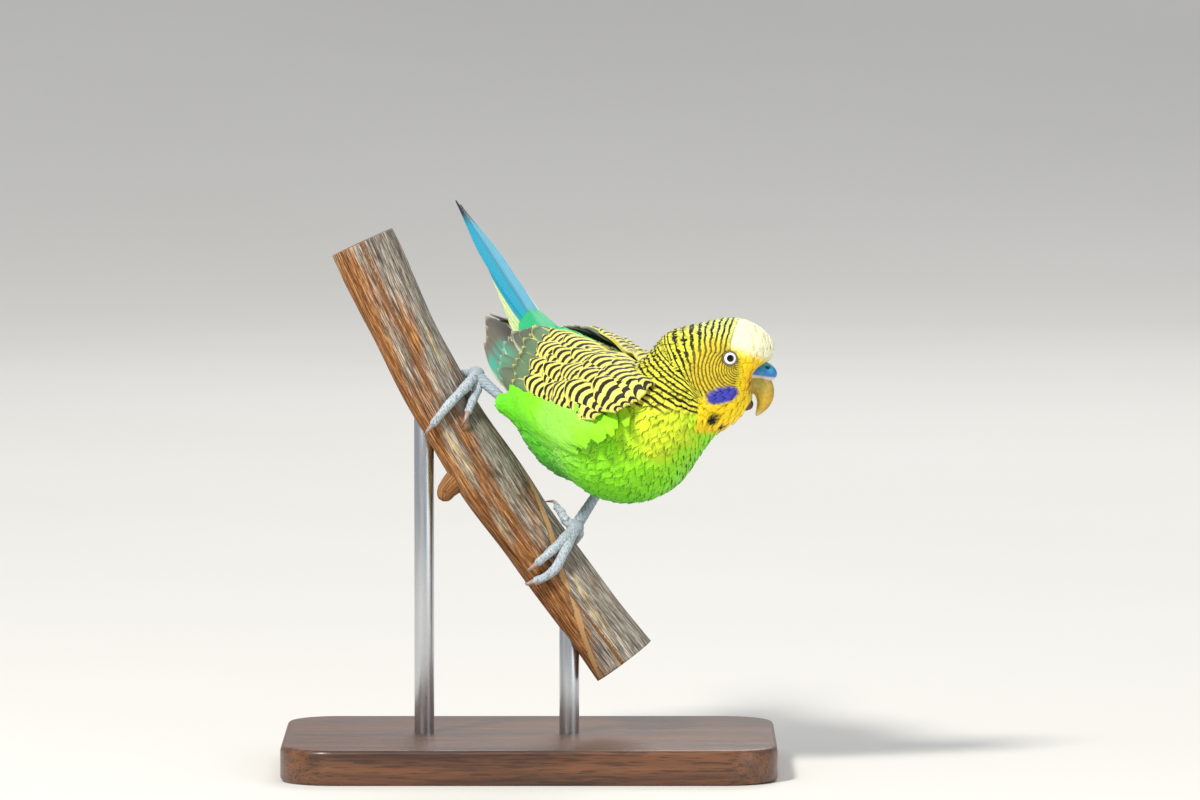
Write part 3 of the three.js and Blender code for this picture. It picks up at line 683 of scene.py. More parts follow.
# %% The pattern for a vane
def vane_pattern(across, along):
    """Corner places (across -1 to 1, along 0 to 1, top 1 or underside 0) and faces of one vane."""
    bm = bmesh.new()
    bmesh.ops.create_grid(bm, x_segments=across, y_segments=along, size=1)
    bmesh.ops.solidify(bm, geom=bm.faces[:], thickness=0.2)
    bmesh.ops.recalc_face_normals(bm, faces=bm.faces[:])
    place = corners(bm)
    top = (place[:, 2] > place[:, 2].mean()).astype(float)
    bm.verts.index_update()
    faces = np.array([[v.index for v in face.verts] for face in bm.faces])
    bm.free()
    return np.stack([place[:, 0], (place[:, 1] + 1) / 2, top], -1), faces


def uneven(pattern, count, spread):
    """Seeded unevenness for each corner of each vane, the same above and below."""
    _, twin = np.unique(np.round(pattern[0][:, :2], 4), axis=0, return_inverse=True)
    twin = twin.ravel()
    return spread * draw.normal(size=(count, twin.max() + 1))[:, twin]


def sharp_rims(mesh, shape):
    """Keeps the shading of a vane's faces apart from that of its thin rim."""
    ends = np.empty(2 * len(mesh.edges), np.int32)
    mesh.edges.foreach_get("vertices", ends)
    ends = ends.reshape(-1, 2) % len(shape)
    on_rim = (np.abs(shape[:, 0]) > 0.99) | (np.abs(shape[:, 1] - 0.5) > 0.49)
    same_face = shape[ends[:, 0], 2] == shape[ends[:, 1], 2]
    layer = mesh.attributes.new("sharp_edge", "BOOLEAN", "EDGE")
    layer.data.foreach_set("value", on_rim[ends].all(1) & same_face)


def outline(v, tip):
    """Share of the full width at each share of the length: narrow root, broad middle, round end."""
    round_end = np.sqrt(np.clip(1 - ((v - 0.62) / 0.385) ** 2, 0, 1))
    return mix(0.45, 1, smooth(0, 0.45, v)) * np.where(v > 0.62, mix(round_end, 1 - smooth(0.62, 1, v), 1 - tip), 1)


def feathered(name, pattern, places, tint, bars, blade, bake, patch, material, nodes=()):
    """One mesh of many vanes. places is vane by corner; bake gives each vane's root on the unwrap."""
    shape, faces = pattern
    count, per = places.shape[:2]
    mesh = bpy.data.meshes.new(name)
    mesh.vertices.add(count * per)
    mesh.vertices.foreach_set("co", (places * MM).ravel())
    loops = (faces.ravel()[None] + per * np.arange(count)[:, None]).ravel()
    mesh.loops.add(len(loops))
    mesh.loops.foreach_set("vertex_index", loops)
    mesh.polygons.add(len(loops) // 4)
    mesh.polygons.foreach_set("loop_start", np.arange(0, len(loops), 4))
    mesh.update(calc_edges=True)
    sharp_rims(mesh, shape)
    rows, strength, width = bars
    carry_plumage(mesh, tint, rows, strength, width, blade)
    uv = mesh.uv_layers.new(name="OFBake")
    offsets = np.stack([shape[:, 0] / 2, shape[:, 1] - 0.5], -1) * patch
    spots = bake[:, None] + offsets[None]
    uv.data.foreach_set("uv", spots.reshape(-1, 2)[loops].astype(np.float32).ravel())
    return show(mesh, name, material, nodes)


# %% [markdown]
# Where body feathers grow. Candidates are scattered evenly over the skin from a seeded draw, and
# one is kept only if no kept neighbour is closer than the feathers' spacing there: under a
# millimetre on the face, and two on the back. That spreads them as evenly as real follicles.

# %% Roots of the body feathers
def spacing(points):
    away = np.linalg.norm(points - HEAD_MIDDLE, axis=-1)
    near_bill = smooth(9, 3, np.linalg.norm(points - in_head(8, 0, -3), axis=-1))
    tf, _, tu = trunk_place(points)
    mantle = smooth(7, 9, tu) * smooth(12, 8, tf) * smooth(-22, -18, tf)
    body = mix(mix(0.85, 1.35, smooth(9, 26, away)), 0.62, near_bill)
    return mix(body, 2.1, mantle)


def scatter(count):
    share = np.arccos(1 - 2 * draw.random(count)) / math.pi
    angle = (draw.random(count) * 2 - 1) * math.pi
    return skin_point(share, angle), share, angle


def thinned(points, gap):
    tree = kdtree.KDTree(len(points))
    for i, p in enumerate(points):
        tree.insert(p, i)
    tree.balance()
    keep = np.ones(len(points), bool)
    for i, p in enumerate(points):
        if keep[i]:
            for _, j, _ in tree.find_range(p, gap[i]):
                if j > i:
                    keep[j] = False
    return keep


candidates, root_share, root_angle = scatter(60000)
kept = thinned(candidates, spacing(candidates))
roots, root_share, root_angle = candidates[kept], root_share[kept], root_angle[kept]
root_normals = outward(roots)
print("body feathers", len(roots))

# %% [markdown]
# The lie of the coat. Feathers point away from the bill over the head, back along the middle line
# over the neck and trunk, a little downwards on the breast, and down the thighs to the ankles.

# %% The lie
def lie(points, normals):
    near = np.argmin(((path_samples**2).sum(1) - 2 * points @ path_samples.T), axis=1)
    flow = -path_tangents[near]
    tf, _, tu = trunk_place(points)
    flow = flow + np.array([0, 0, -0.4]) * (smooth(14, 4, tu) * smooth(-22, -6, tf))[:, None]
    from_bill = points - in_head(10, 0, -2.5)
    near_face = smooth(19, 8, np.linalg.norm(from_bill, axis=-1))[:, None]
    flow = mix(unit(flow), unit(from_bill), near_face)
    for hip, ankle in THIGHS:
        close = smooth(1.5, -0.5, thigh_depth(points, (hip, ankle)))[:, None]
        flow = mix(flow, unit(ankle - hip), close * 0.8)
    flow = flow - normals * np.sum(flow * normals, axis=1, keepdims=True)
    return unit(flow)


flow = lie(roots, root_normals)
swing = draw.normal(0, 0.1, len(roots))[:, None]
flow = unit(flow + np.cross(root_normals, flow) * swing)

# %% [markdown]
# Laying the vanes. Each starts sunk in the skin and rises to the feathered surface at its tip, so
# that the next one covers its root, and its edges droop. Small round ones sit on the head, and
# longer ones with slightly uneven ends on the body. The mantle's feathers carry their own dark arcs.

# %% Body feathers
def body_vanes(chosen, pattern):
    shape, _ = pattern
    u, v, top = shape.T
    root, normal, along = roots[chosen], root_normals[chosen], flow[chosen]
    side = np.cross(along, normal)
    gap = spacing(root)
    length = gap * np.interp(gap, [0.6, 1.3, 2.1], [3.2, 5.2, 3.1]) * (1 + 0.12 * draw.normal(size=len(root)))
    wide = gap * np.interp(gap, [0.6, 1.3, 2.1], [1.9, 2.0, 1.75])
    fray = 1 + uneven(pattern, len(root), 0.01) * (v > 0.7)
    reach = (v[None] * fray - 0.15 * u[None] ** 2 * v[None]) * length[:, None]
    sideways = (u * outline(v, 0.8))[None] * wide[:, None] / 2
    places = root[:, None] + along[:, None] * reach[..., None] + side[:, None] * sideways[..., None]
    depth = coat_depth(root)[:, None]
    loose = 0.05 * draw.random(len(root))[:, None]
    height = -depth * (1 - v[None]) ** 1.3 * 1.05 - 0.1 * u[None] ** 2 + loose * v[None]
    height = height - 0.1 * (1 - top[None]) - 0.05
    places = settle(places, height)
    tint, rows, strength, width = markings(places)
    rows = rows + 0.03 * draw.normal(size=len(root))[:, None] + 0.05 * u[None] ** 2
    tf, _, tu = trunk_place(root)
    mantle = (tu > 8.5) & (tf < 9) & (tf > -19)
    own = (1 - v)[None] * length[:, None] / 2.3 - 0.2 * u[None] ** 2 + 0.5
    rows = np.where(mantle[:, None], own, rows)
    tint = np.where(mantle[:, None, None], BARRED * 0.9, tint)
    strength = np.where(mantle[:, None], 1.0, strength)
    width = np.where(mantle[:, None], 0.4, width)
    chance = np.broadcast_to(draw.normal(size=len(root))[:, None], rows.shape)
    blade = np.stack([np.broadcast_to(u * 1.2, rows.shape), v[None] * length[:, None] / wide[:, None] * 2, chance], -1)
    bake = np.stack([0.5 + root_angle[chosen] / (2 * math.pi) * 0.98, 0.01 + 0.98 * root_share[chosen]], -1)
    return places, tint, (rows, strength, width), blade, bake


root_f, root_l, root_u = head_place(roots)
root_tf, _, root_tu = trunk_place(roots)
from_head = np.linalg.norm(roots - HEAD_MIDDLE, axis=-1)
blocked = np.zeros(len(roots), bool)
for place, radius in ((in_head(8.5, 0, -1.3), 4.1), (in_head(8, 0, -6), 3.4), (in_head(6.5, 0, -9), 2.2)):
    blocked |= np.linalg.norm(roots - place, axis=1) < radius
eye_line = np.hypot(root_f - 1.2, root_u - 1.6)
blocked |= (eye_line < 1.55) & (np.abs(root_l) > 3)
groups = {
    "face_feathers": (from_head < 13) & (root_f > -4),
    "neck_feathers": ((from_head < 13) & (root_f <= -4)) | ((from_head >= 13) & (from_head < 26)),
    "breast_feathers": (from_head >= 26) & (root_tf > 2),
    "belly_feathers": (from_head >= 26) & (root_tf <= 2) & (root_tu < 3),
    "back_feathers": (from_head >= 26) & (root_tf <= 2) & (root_tu >= 3),
}
small_vane, wide_vane = vane_pattern(2, 4), vane_pattern(4, 5)
PATCH = 0.003
for name, members in groups.items():
    chosen = np.nonzero(members & ~blocked)[0]
    pattern = small_vane if name == "face_feathers" else wide_vane
    places, tint, bars, blade, bake = body_vanes(chosen, pattern)
    feathered(name, pattern, places, tint, bars, blade, bake, PATCH, body_plumage)

# %% [markdown]
# The folded wings. A wing lies on a bullet-shaped sheet about the trunk that narrows to the rear.
# Each vane is laid on that sheet, tier over tier: flight feathers lowest, then three kinds of
# coverts. It is the same sheet as in the solids, so the feathers lie where the solids have them.

# %% The wing's sheet
WING_FRONT, WING_LENGTH, DROOP = 17, 90, math.radians(9.5)
WING_ARC = {"right": 50, "left": 38}
WING_CLOSING = {"right": 4, "left": -2.5}


def wing_sheet(side_name):
    side = 1 if side_name == "left" else -1

    def sheet(across, along, lift):
        share = along / WING_LENGTH
        half_width = mix(17.5, 19, smooth(0, 0.25, share)) * (1 - 0.86 * smooth(0.3, 1.12, share))
        half_height = mix(13, 14.5, smooth(0, 0.3, share)) * (1 - 0.75 * smooth(0.35, 1.1, share))
        angle = np.radians(mix(WING_ARC[side_name], 34, share)) + 2 * across / (half_width + half_height)
        inwards, rise = -side * WING_CLOSING[side_name] * share, 7 * share - 2 - math.tan(DROOP) * along
        axis = TRUNK_MIDDLE + np.stack([WING_FRONT - along, inwards, rise], -1) @ TRUNK
        ray = side * (half_width * np.cos(angle))[..., None] * TRUNK[1]
        ray = ray + (half_height * np.sin(angle))[..., None] * TRUNK[2]
        free = np.linalg.norm(ray, axis=-1)
        ray = ray / free[..., None]
        covered = np.linalg.norm(leave_skin(axis, ray) - axis, axis=-1) + 0.4
        radius = np.maximum(free, np.minimum(covered, free + 3)) + lift
        return axis + ray * radius[..., None]

    return sheet


# %% [markdown]
# The wing's colours. A covert is yellow with dark arcs that follow its round end, the greater
# coverts have a grey-green middle inside a yellow rim, and the flight feathers are grey-brown with
# a turquoise outer web and a pale edge. Each is told from the place on the feather and the wing.

# %% Wing tiers and colours
TIERS = [
    # name, count, roots (lowest, highest), tips (lowest, highest), width, lift, end
    ("flight", 8, ((-6, 22), (-1, 26)), ((-3.6, 72), (2.4, 88)), 6.4, -0.4, 0.8),
    ("second", 8, ((-5, 14), (5, 16)), ((-6, 42), (4, 60)), 6.2, 0.3, 0.6),
    ("inner", 4, ((4, 10), (8, 8)), ((4, 57), (7.5, 46)), 5.4, 0.9, 0.6),
    ("greater", 10, ((-6, 10), (7.4, 12)), ((-5.8, 29), (7, 45)), 4.0, 1.3, 0.9),
    ("covert", 8, ((-4.6, 5), (9.5, 6)), ((-4.2, 22), (9, 39)), 4.9, 1.5, 1.0),
    ("covert", 8, ((-3.8, 1), (9.8, 2)), ((-3.2, 16), (9.6, 31)), 4.9, 1.7, 1.0),
    ("covert", 7, ((-2.8, -3), (9.8, -2)), ((-2.2, 10.5), (9.8, 23)), 5.1, 1.9, 1.0),
    ("covert", 7, ((-1.2, -7), (9.6, -6)), ((-0.6, 5), (9.8, 15)), 5, 2.05, 1.0),
    ("covert", 5, ((2.6, -11), (9, -10)), ((2.8, -0.5), (9.4, 7.5)), 4.6, 2.2, 1.0),
]
WEB, TEAL, EDGE, DUSK = paint("#6b6656"), paint("#17b59c"), paint("#e9e6bd"), paint("#3f3a33")
CELL, YELLOW = paint("#6f8f68"), paint("#e6de6c")


def wing_marks(kind, u, v, length, wide, across, along):
    """Ground colour, bars, their strength and their width for one tier."""
    from_tip = np.maximum(length * (1 - v) - 0.32 * wide * u**2, 0)
    rim = smooth(0.98, 0.72, np.abs(u))
    ones = np.ones(np.shape(from_tip))
    if kind == "covert":
        return ones[..., None] * YELLOW, (from_tip - 1.4) / 2.55, rim * ones, 0.46 * ones
    if kind == "greater":
        inside = smooth(0.35, 0.8, from_tip) * smooth(0.92, 0.7, np.abs(u))
        tint = over(ones[..., None] * YELLOW, CELL, inside)
        dark = inside * mix(0.95, 0.25, smooth(1.0, 3.5, from_tip)) * mix(0.6, 1, smooth(-4, 4, across))
        return tint, 0 * ones, dark, ones
    panel = smooth(3.5, -1, across) * smooth(38, 46, along) * smooth(68, 58, along)
    tint = over(ones[..., None] * WEB, TEAL, panel * smooth(0.5, -0.3, u))
    tint = over(tint, DUSK, smooth(-1, 4, across) * 0.8)
    tint = over(tint, CELL, smooth(60, 40, along) * 0.5)
    tint = over(tint, EDGE, smooth(-0.78, -0.95, u) * 0.9 + smooth(0.5, 0.1, from_tip) * 0.6)
    return tint, 0 * ones, 0.5 * smooth(0.1, 0.8, u) * ones, ones


def lay_tier(sheet, pattern, tier):
    kind, count, root_ends, tip_ends, wide, lift, end = tier
    u, v, top = pattern[0].T
    k = np.linspace(0, 1, count)[:, None]
    vary = draw.normal(size=(3, count, 1))
    root_across, tip_across = (mix(ends[0][0], ends[1][0], k) for ends in (root_ends, tip_ends))
    root_along, tip_along = (mix(ends[0][1], ends[1][1], k) for ends in (root_ends, tip_ends))
    tip_along = tip_along + 0.7 * vary[0] + (1.5 * np.sin(math.pi * k) if kind != "flight" else 0)
    length = tip_along - root_along
    width = wide * (1 + 0.05 * vary[1])
    ragged = v[None] * (1 + uneven(pattern, count, 0.1) / length * (v > 0.9))
    along = mix(root_along, tip_along, ragged - 0.012 * wide / 4 * u[None] ** 2 * v[None])
    across = mix(root_across, tip_across, v[None]) + (u * outline(v, end))[None] * width / 2
    thick = mix(0.5, 0.18, v)[None]
    shaft = 0.12 * np.exp(-((u[None] / 0.12) ** 2)) * (1 - v[None])
    camber = -0.35 * u[None] ** 2 + shaft
    layer = 0.35 * (np.arange(count)[:, None] % 2) * v[None] + 0.1 * vary[2] * v[None]
    height = mix(lift - 0.5, lift, v)[None] + camber + layer + thick * (top[None] - 0.5)
    places = sheet(across, along, height)
    tint, rows, strength, width_share = wing_marks(kind, u[None], v[None], length, width, across, along)
    if kind == "covert":
        rows = rows + 0.07 * vary[1]
    chance = np.broadcast_to(vary[1], along.shape)
    blade = np.stack([np.broadcast_to(u * 1.6, along.shape), v[None] * length / 2.2, chance], -1)
    return places, tint, rows, strength, width_share, blade


def gathered(tiers):
    return [np.concatenate([tier[i] for tier in tiers]) for i in range(6)]


def cells(count):
    """One cell of the unwrap for each large vane."""
    side = math.ceil(math.sqrt(count))
    index = np.arange(count)
    return np.stack([(index % side + 0.5) / side, (index // side + 0.5) / side], -1), 0.94 / side


# %% Wings
wing_vane = vane_pattern(6, 14)
for side_name in ("right", "left"):
    sheet = wing_sheet(side_name)
    shown = TIERS if side_name == "right" else TIERS[:-2]
    tiers = [lay_tier(sheet, wing_vane, tier) for tier in shown]
    places, tint, rows, strength, width, blade = gathered(tiers)
    bake, patch = cells(len(places))
    name, nodes = "wing_feathers_" + side_name, ["wing_" + side_name]
    bars = rows, strength, width
    feathered(name, wing_vane, places, tint, bars, blade, bake, patch, wing_plumage, nodes)

# %% [markdown]
# A resting budgerigar tucks the lower edge of its wing under the soft feathers of the flank. They
# lie on the wing's own sheet, in rows that slant up and back, and end along a line measured on the
# photograph. Their colours come from the markings, as on the rest of the body.

# %% Flank feathers
LINE_ALONG = (-12, -7.5, -5.5, -1.5, 4, 13, 20.5, 30)
LINE_ACROSS = (7.4, 4.4, 1.0, -1.2, -3.0, -4.2, -4.6, -5.6)


def flank_vanes(sheet, pattern, front):
    u, v, top = pattern[0].T
    rows = np.arange(7)
    tip_along = (np.arange(front, 30, 1.25)[None] + 0.6 * (rows[:, None] % 2)).ravel()
    row = np.repeat(rows, len(tip_along) // len(rows))
    tip_across = np.interp(tip_along, LINE_ALONG, LINE_ACROSS) - 0.3 - 1.75 * row + 0.35 * draw.normal(size=len(row))
    lowest = np.interp(tip_along, (front, front + 16), (-2.5, -15.5))
    kept = tip_across > lowest
    tip_along, tip_across = tip_along[kept, None], tip_across[kept, None]
    long = 1 + 0.1 * draw.normal(size=tip_along.shape)
    reach = v[None] * (1 + uneven(pattern, len(tip_along), 0.01) * (v > 0.7))
    along = tip_along + (reach - 1) * 5.6 * long - 0.25 * (u * outline(v, 0.8))[None]
    across = tip_across + (reach - 1) * 3 * long + (u * outline(v, 0.8))[None] * 1.15
    base = mix(-1.5, 2.2, smooth(-16, -6, tip_across + (reach - 1) * 3) * smooth(front - 6, front + 10, along))
    height = base + mix(-0.9, 0.45, v)[None] - 0.12 * u[None] ** 2 - 0.12 * (1 - top[None])
    places = sheet(across, along, height + 0.1 * draw.random(tip_along.shape))
    chance = np.broadcast_to(draw.normal(size=tip_along.shape), along.shape)
    blade = np.stack([np.broadcast_to(u * 1.2, along.shape), np.broadcast_to(v * 5, along.shape), chance], -1)
    bake = np.concatenate([(tip_along + 16) / 50, (tip_across + 20) / 32], 1)
    return places, blade, bake


for side_name, front in (("right", -7), ("left", 2)):
    places, blade, bake = flank_vanes(wing_sheet(side_name), wide_vane, front)
    tint, *bars = markings(places)
    feathered("flank_feathers_" + side_name, wide_vane, places, tint, bars, blade, bake, PATCH, body_plumage)

# %% [markdown]
# The tail: long narrow vanes, the middle pair longest and each pair below it shorter, with small
# coverts over and under their roots. It is blue, green at the root and black at the tip, and
# its outer feathers have a pale yellow web.

# %% Tail
TAIL_ROOT, TAIL_LENGTH = np.array([3.5, 15, 97.5]), 72
TAIL_TURN, TAIL_RISE = math.radians(18.5), math.radians(23)
level_part = math.cos(TAIL_RISE)
tail_back = np.array([-level_part * math.sin(TAIL_TURN), level_part * math.cos(TAIL_TURN), math.sin(TAIL_RISE)])
tail_left = unit(TRUNK[1] - tail_back * (TRUNK[1] @ tail_back))
tail_up = np.cross(tail_left, tail_back)
tail_up = tail_up * np.sign(tail_up[2])
SKY, EMERALD, PALE, TIP = paint("#0893b0"), paint("#10b070"), paint("#e6ec9c"), paint("#0c1420")


def tail_sheet(across, along, lift):
    place = along[..., None] * tail_back + across[..., None] * tail_left
    return TAIL_ROOT + place + (lift - 0.16 * np.abs(across))[..., None] * tail_up


def tail_vane(pattern, root, tip, wide, lift, tip_lift, end):
    u, v, top = pattern[0].T
    along = mix(root[1], tip[1], v)
    across = mix(root[0], tip[0], v) + u * outline(v, end) * wide / 2
    height = mix(lift, tip_lift, v) - 0.2 * u**2 + 0.45 * (top - 0.5) * mix(1, 0.5, v)
    height = height + 0.1 * np.exp(-((u / 0.1) ** 2)) * (1 - v)
    return across, along, height


tail_pattern = vane_pattern(6, 24)
tail_parts = []
u, v, top = tail_pattern[0].T
for pair in range(6):
    for side in (-1, 1):
        reach = TAIL_LENGTH * (1 if pair == 0 else 0.84 - 0.1 * pair) - (2 if side > 0 else 0)
        across, along, height = tail_vane(
            tail_pattern,
            (side * (0.5 + 0.36 * pair), -10),
            (side * (0.3 + 0.42 * pair), reach),
            4.4,
            -0.38 * pair - (0.2 if side > 0 else 0),
            -0.38 * pair - (0.2 if side > 0 else 0),
            0.25,
        )
        tint = over(np.ones((len(u), 1)) * SKY, EMERALD, smooth(15, 6, along))
        if pair > 1:
            tint = over(tint, PALE, smooth(0.75, 0.9, side * u) * smooth(reach, reach - 12, along) * 0.9)
        tint = over(tint, TIP, smooth(reach - 14, reach - 6, along) * (1 if pair < 2 else 0.5))
        places = tail_sheet(across, along, height)
        chance = draw.normal()
        blade = np.stack([u * 1.4, v * 22, 0 * u + chance], -1)
        tail_parts.append([a[None] for a in (places, tint, 0 * u, 0.35 * np.exp(-((u / 0.08) ** 2)), 0 * u + 1, blade)])
for index in range(14):
    above = index < 7
    place = (index % 7 - 3) / 3
    reach = (13 if above else 17) - 4 * abs(place) + draw.normal()
    lift = 0.9 - 0.5 * abs(place) if above else -3.3 + 0.5 * abs(place)
    across, along, height = tail_vane(tail_pattern, (2.6 * place, -9), (3 * place, reach), 4.2, lift, lift * 0.75, 0.8)
    tint = over(np.ones((len(u), 1)) * EMERALD, RUMP, smooth(4, -4, along))
    blade = np.stack([u * 1.4, v * 12, 0 * u + draw.normal()], -1)
    tail_parts.append([a[None] for a in (tail_sheet(across, along, height), tint, 0 * u, 0 * u, 0 * u + 1, blade)])
places, tint, rows, strength, width, blade = gathered(tail_parts)
bake, patch = cells(len(places))
bars = rows, strength, width
feathered("tail_feathers", tail_pattern, places, tint, bars, blade, bake, patch, tail_plumage, ["tail"])

# %% [markdown]
# Tapering limbs make the bill, cere, toes and claws: a ball drawn out along a curve, as wide and
# as high at each share of its length as a small function says. It is the solids' own recipe with
# more corners, so each piece keeps its place and size.

# %% Limbs
def add_limb(bm, path, size, upward, around=28, along=40):
    """Adds one limb to a bmesh and gives its corners' places, shares and angles."""
    made = bmesh.ops.create_uvsphere(bm, u_segments=around, v_segments=along, radius=1)["verts"]
    ball = np.array([v.co for v in made], float)
    share = np.arccos(np.clip(ball[:, 2], -1, 1)) / math.pi
    angle = np.arctan2(ball[:, 1], ball[:, 0])
    tangent = path.tangent(share)
    side = unit(np.cross(tangent, upward))
    rise = np.cross(side, tangent)
    half_width, half_height = size(share)
    rim = np.where((share < 1e-6) | (share > 1 - 1e-6), 0, 1)
    places = path.at(share) + side * (rim * half_width * np.cos(angle))[:, None]
    places = places + rise * (rim * half_height * np.sin(angle))[:, None]
    move_corners(made, places)
    return made, places, share, angle


def fine_grain():
    """Darkens and roughens a colour with a fine uneven grain."""
    inputs = {"Place": "Vector", "Tint": "Color", "Scale": "Float", "Depth": "Float"}
    mat = Effect("fine_grain", inputs, {"Color": "Color", "Grit": "Float", "Normal": "Vector"})
    grit = mat.noise(mat.given["Place"], mat.given["Scale"], 5.0, 0.6)
    share = mat.between(grit, 0.3, 0.75, 0.0, 0.3)
    colour = mat.blended(share, mat.given["Tint"], paint("#2a2018"), "MULTIPLY")
    return mat.done(Color=colour, Grit=grit, Normal=mat.raised(grit, 0.4, mat.given["Depth"]))


grain_effect = fine_grain()


def tinted(name, rough, coat=0.0, grain=900.0, depth=0.05):
    """A finish that takes its colour from the corners, with the fine grain over it."""
    mat = Recipe(name, Roughness=rough, Coat_Weight=coat, Coat_Roughness=0.12)
    tint = mat.attribute("tint", "Color")
    marks = mat.placed(grain_effect, Place=mat.place(), Tint=tint, Scale=grain, Depth=depth * MM)
    uneven_rough = mat.between(marks["Grit"], 0.2, 0.8, rough - 0.08, rough + 0.1)
    return mat.done(Base_Color=marks["Color"], Normal=marks["Normal"], Roughness=uneven_rough)


def plain(code, count):
    """One colour for so many corners."""
    return np.ones((count, 1)) * paint(code)


def carry_tint(mesh, tint):
    carry(mesh, "tint", "FLOAT_COLOR", np.concatenate([tint, np.ones((len(tint), 1))], -1))


# %% [markdown]
# The eye is a glossy ball set in the head with only its front showing. Its colour runs in rings
# from the middle: a black pupil, a white iris and a dark rim. The lids are a thin wrinkled ring
# round it, spun from one small circle.

# %% Eyes
EYE_RADIUS, EYE_SUNK, LID_RADIUS, LID_TUBE = 1.9, 1.15, 1.52, 0.24
PUPIL, IRIS = 0.8, 1.3


def eye_finish():
    mat = Recipe("eye", Roughness=0.2, Coat_Weight=0.6, Coat_Roughness=0.04, Coat_IOR=1.33, Specular_IOR_Level=0.15)
    ring = mat.attribute("ring", "Fac")
    streak = mat.noise(mat.place(), 3500.0)
    white = mat.blended(streak, paint("#dfe6ea"), paint("#ffffff"))
    colour = mat.blended(mat.between(ring, PUPIL - 0.03, PUPIL + 0.04), paint("#050506"), white)
    colour = mat.blended(mat.between(ring, IRIS - 0.03, IRIS + 0.04), colour, paint("#1b1714"))
    return mat.done(Base_Color=colour)


eye_material = eye_finish()
lid_material = tinted("lid_skin", 0.6, grain=2500.0)
for side_name, side in (("right", -1), ("left", 1)):
    surface = leave_skin(in_head(1.2, 0, 1.6)[None], side * HEAD[1][None])
    normal = outward(surface)[0]
    surface = surface[0]
    centre = surface - normal * EYE_SUNK
    bm = bmesh.new()
    bmesh.ops.create_uvsphere(bm, u_segments=64, v_segments=48, radius=EYE_RADIUS)
    turn = Vector((0, 0, 1)).rotation_difference(Vector(normal)).to_matrix()
    bmesh.ops.rotate(bm, cent=(0, 0, 0), matrix=turn, verts=bm.verts[:])
    bmesh.ops.translate(bm, vec=centre, verts=bm.verts[:])
    toward = (corners(bm) - centre) / EYE_RADIUS
    front = toward @ normal
    ring = np.where(front > 0, EYE_RADIUS * np.sqrt(np.clip(1 - front**2, 0, 1)), EYE_RADIUS)
    mesh = finished(bm, "eye")
    carry(mesh, "ring", "FLOAT", ring)
    show(mesh, "eyeball_" + side_name, eye_material, ["eye_" + side_name])
    bm = bmesh.new()
    circle = bmesh.ops.create_circle(bm, segments=12, radius=LID_TUBE)["verts"]
    bmesh.ops.rotate(bm, cent=(0, 0, 0), matrix=Matrix.Rotation(math.pi / 2, 3, "X"), verts=circle)
    bmesh.ops.translate(bm, vec=(LID_RADIUS, 0, 0), verts=circle)
    whole, turned = bm.verts[:] + bm.edges[:], 2 * math.pi
    bmesh.ops.spin(bm, geom=whole, cent=(0, 0, 0), axis=(0, 0, 1), angle=turned, steps=72, use_merge=True)
    for vert in bm.verts:
        bead = math.atan2(vert.co.y, vert.co.x) * 26
        vert.co.z += 0.05 * math.cos(bead)
    bmesh.ops.rotate(bm, cent=(0, 0, 0), matrix=turn, verts=bm.verts[:])
    bmesh.ops.translate(bm, vec=surface - normal * 0.05, verts=bm.verts[:])
    count = len(bm.verts)
    mesh = finished(bm, "lid")
    carry_tint(mesh, plain("#7a6a42", count))
    show(mesh, "lid_ring_" + side_name, lid_material)

# %% [markdown]
# The bill is a strong hook of horn: olive yellow, with a pale tip and a darker root, and the
# smaller lower half sits behind it. Above it sits the cere, a swollen blue pad with a pale
# lower rim, pierced by two round nostrils: shallow pits painted near black as painted shade.

# %% Bill and cere
bill_material = tinted("bill_horn", 0.38, coat=0.3, grain=1400.0, depth=0.03)
cere_material = tinted("cere_skin", 0.42, coat=0.25, grain=1600.0, depth=0.05)
bm = bmesh.new()
hook_line = [(4, -3.8), (7.4, -3.6), (9, -5.8), (9, -8.2), (7.8, -11)]
path = Curve([in_head(forward, 0, up) for forward, up in hook_line])
hook_width = lambda s: mix(2.7, 0.25, s**1.6) + 0.4 * np.sin(math.pi * s)
size = lambda s: (hook_width(s), mix(2.4, 0.3, s**1.3) * (1 + 0.012 * np.sin(60 * s)))
_, _, share, angle = add_limb(bm, path, size, HEAD[1], 40, 60)
horn = over(plain("#c9a51c", len(share)), paint("#b3a23a"), smooth(0.62, 0.36, share))
horn = over(horn, paint("#e3cf8a"), smooth(0.8, 1, share))
horn = over(horn, paint("#bd9726"), smooth(0.3, 0.9, np.cos(angle)) * 0.5)
mesh = finished(bm, "hook")
carry_tint(mesh, horn)
show(mesh, "bill_hook", bill_material, ["upper_bill"])

bm = bmesh.new()
path = Curve([in_head(2.6, 0, -7.4), in_head(5, 0, -8.6), in_head(6.9, 0, -8.7)])
size = lambda s: (1.9 * np.sqrt(1 - s**3), 1.5 * np.sqrt(1 - s**3))
_, _, share, _ = add_limb(bm, path, size, HEAD[1], 32, 30)
mesh = finished(bm, "jaw")
carry_tint(mesh, over(plain("#7a4a34", len(share)), paint("#4a1f18"), smooth(0.5, 1, share)))
show(mesh, "bill_lower", bill_material, ["lower_bill"])

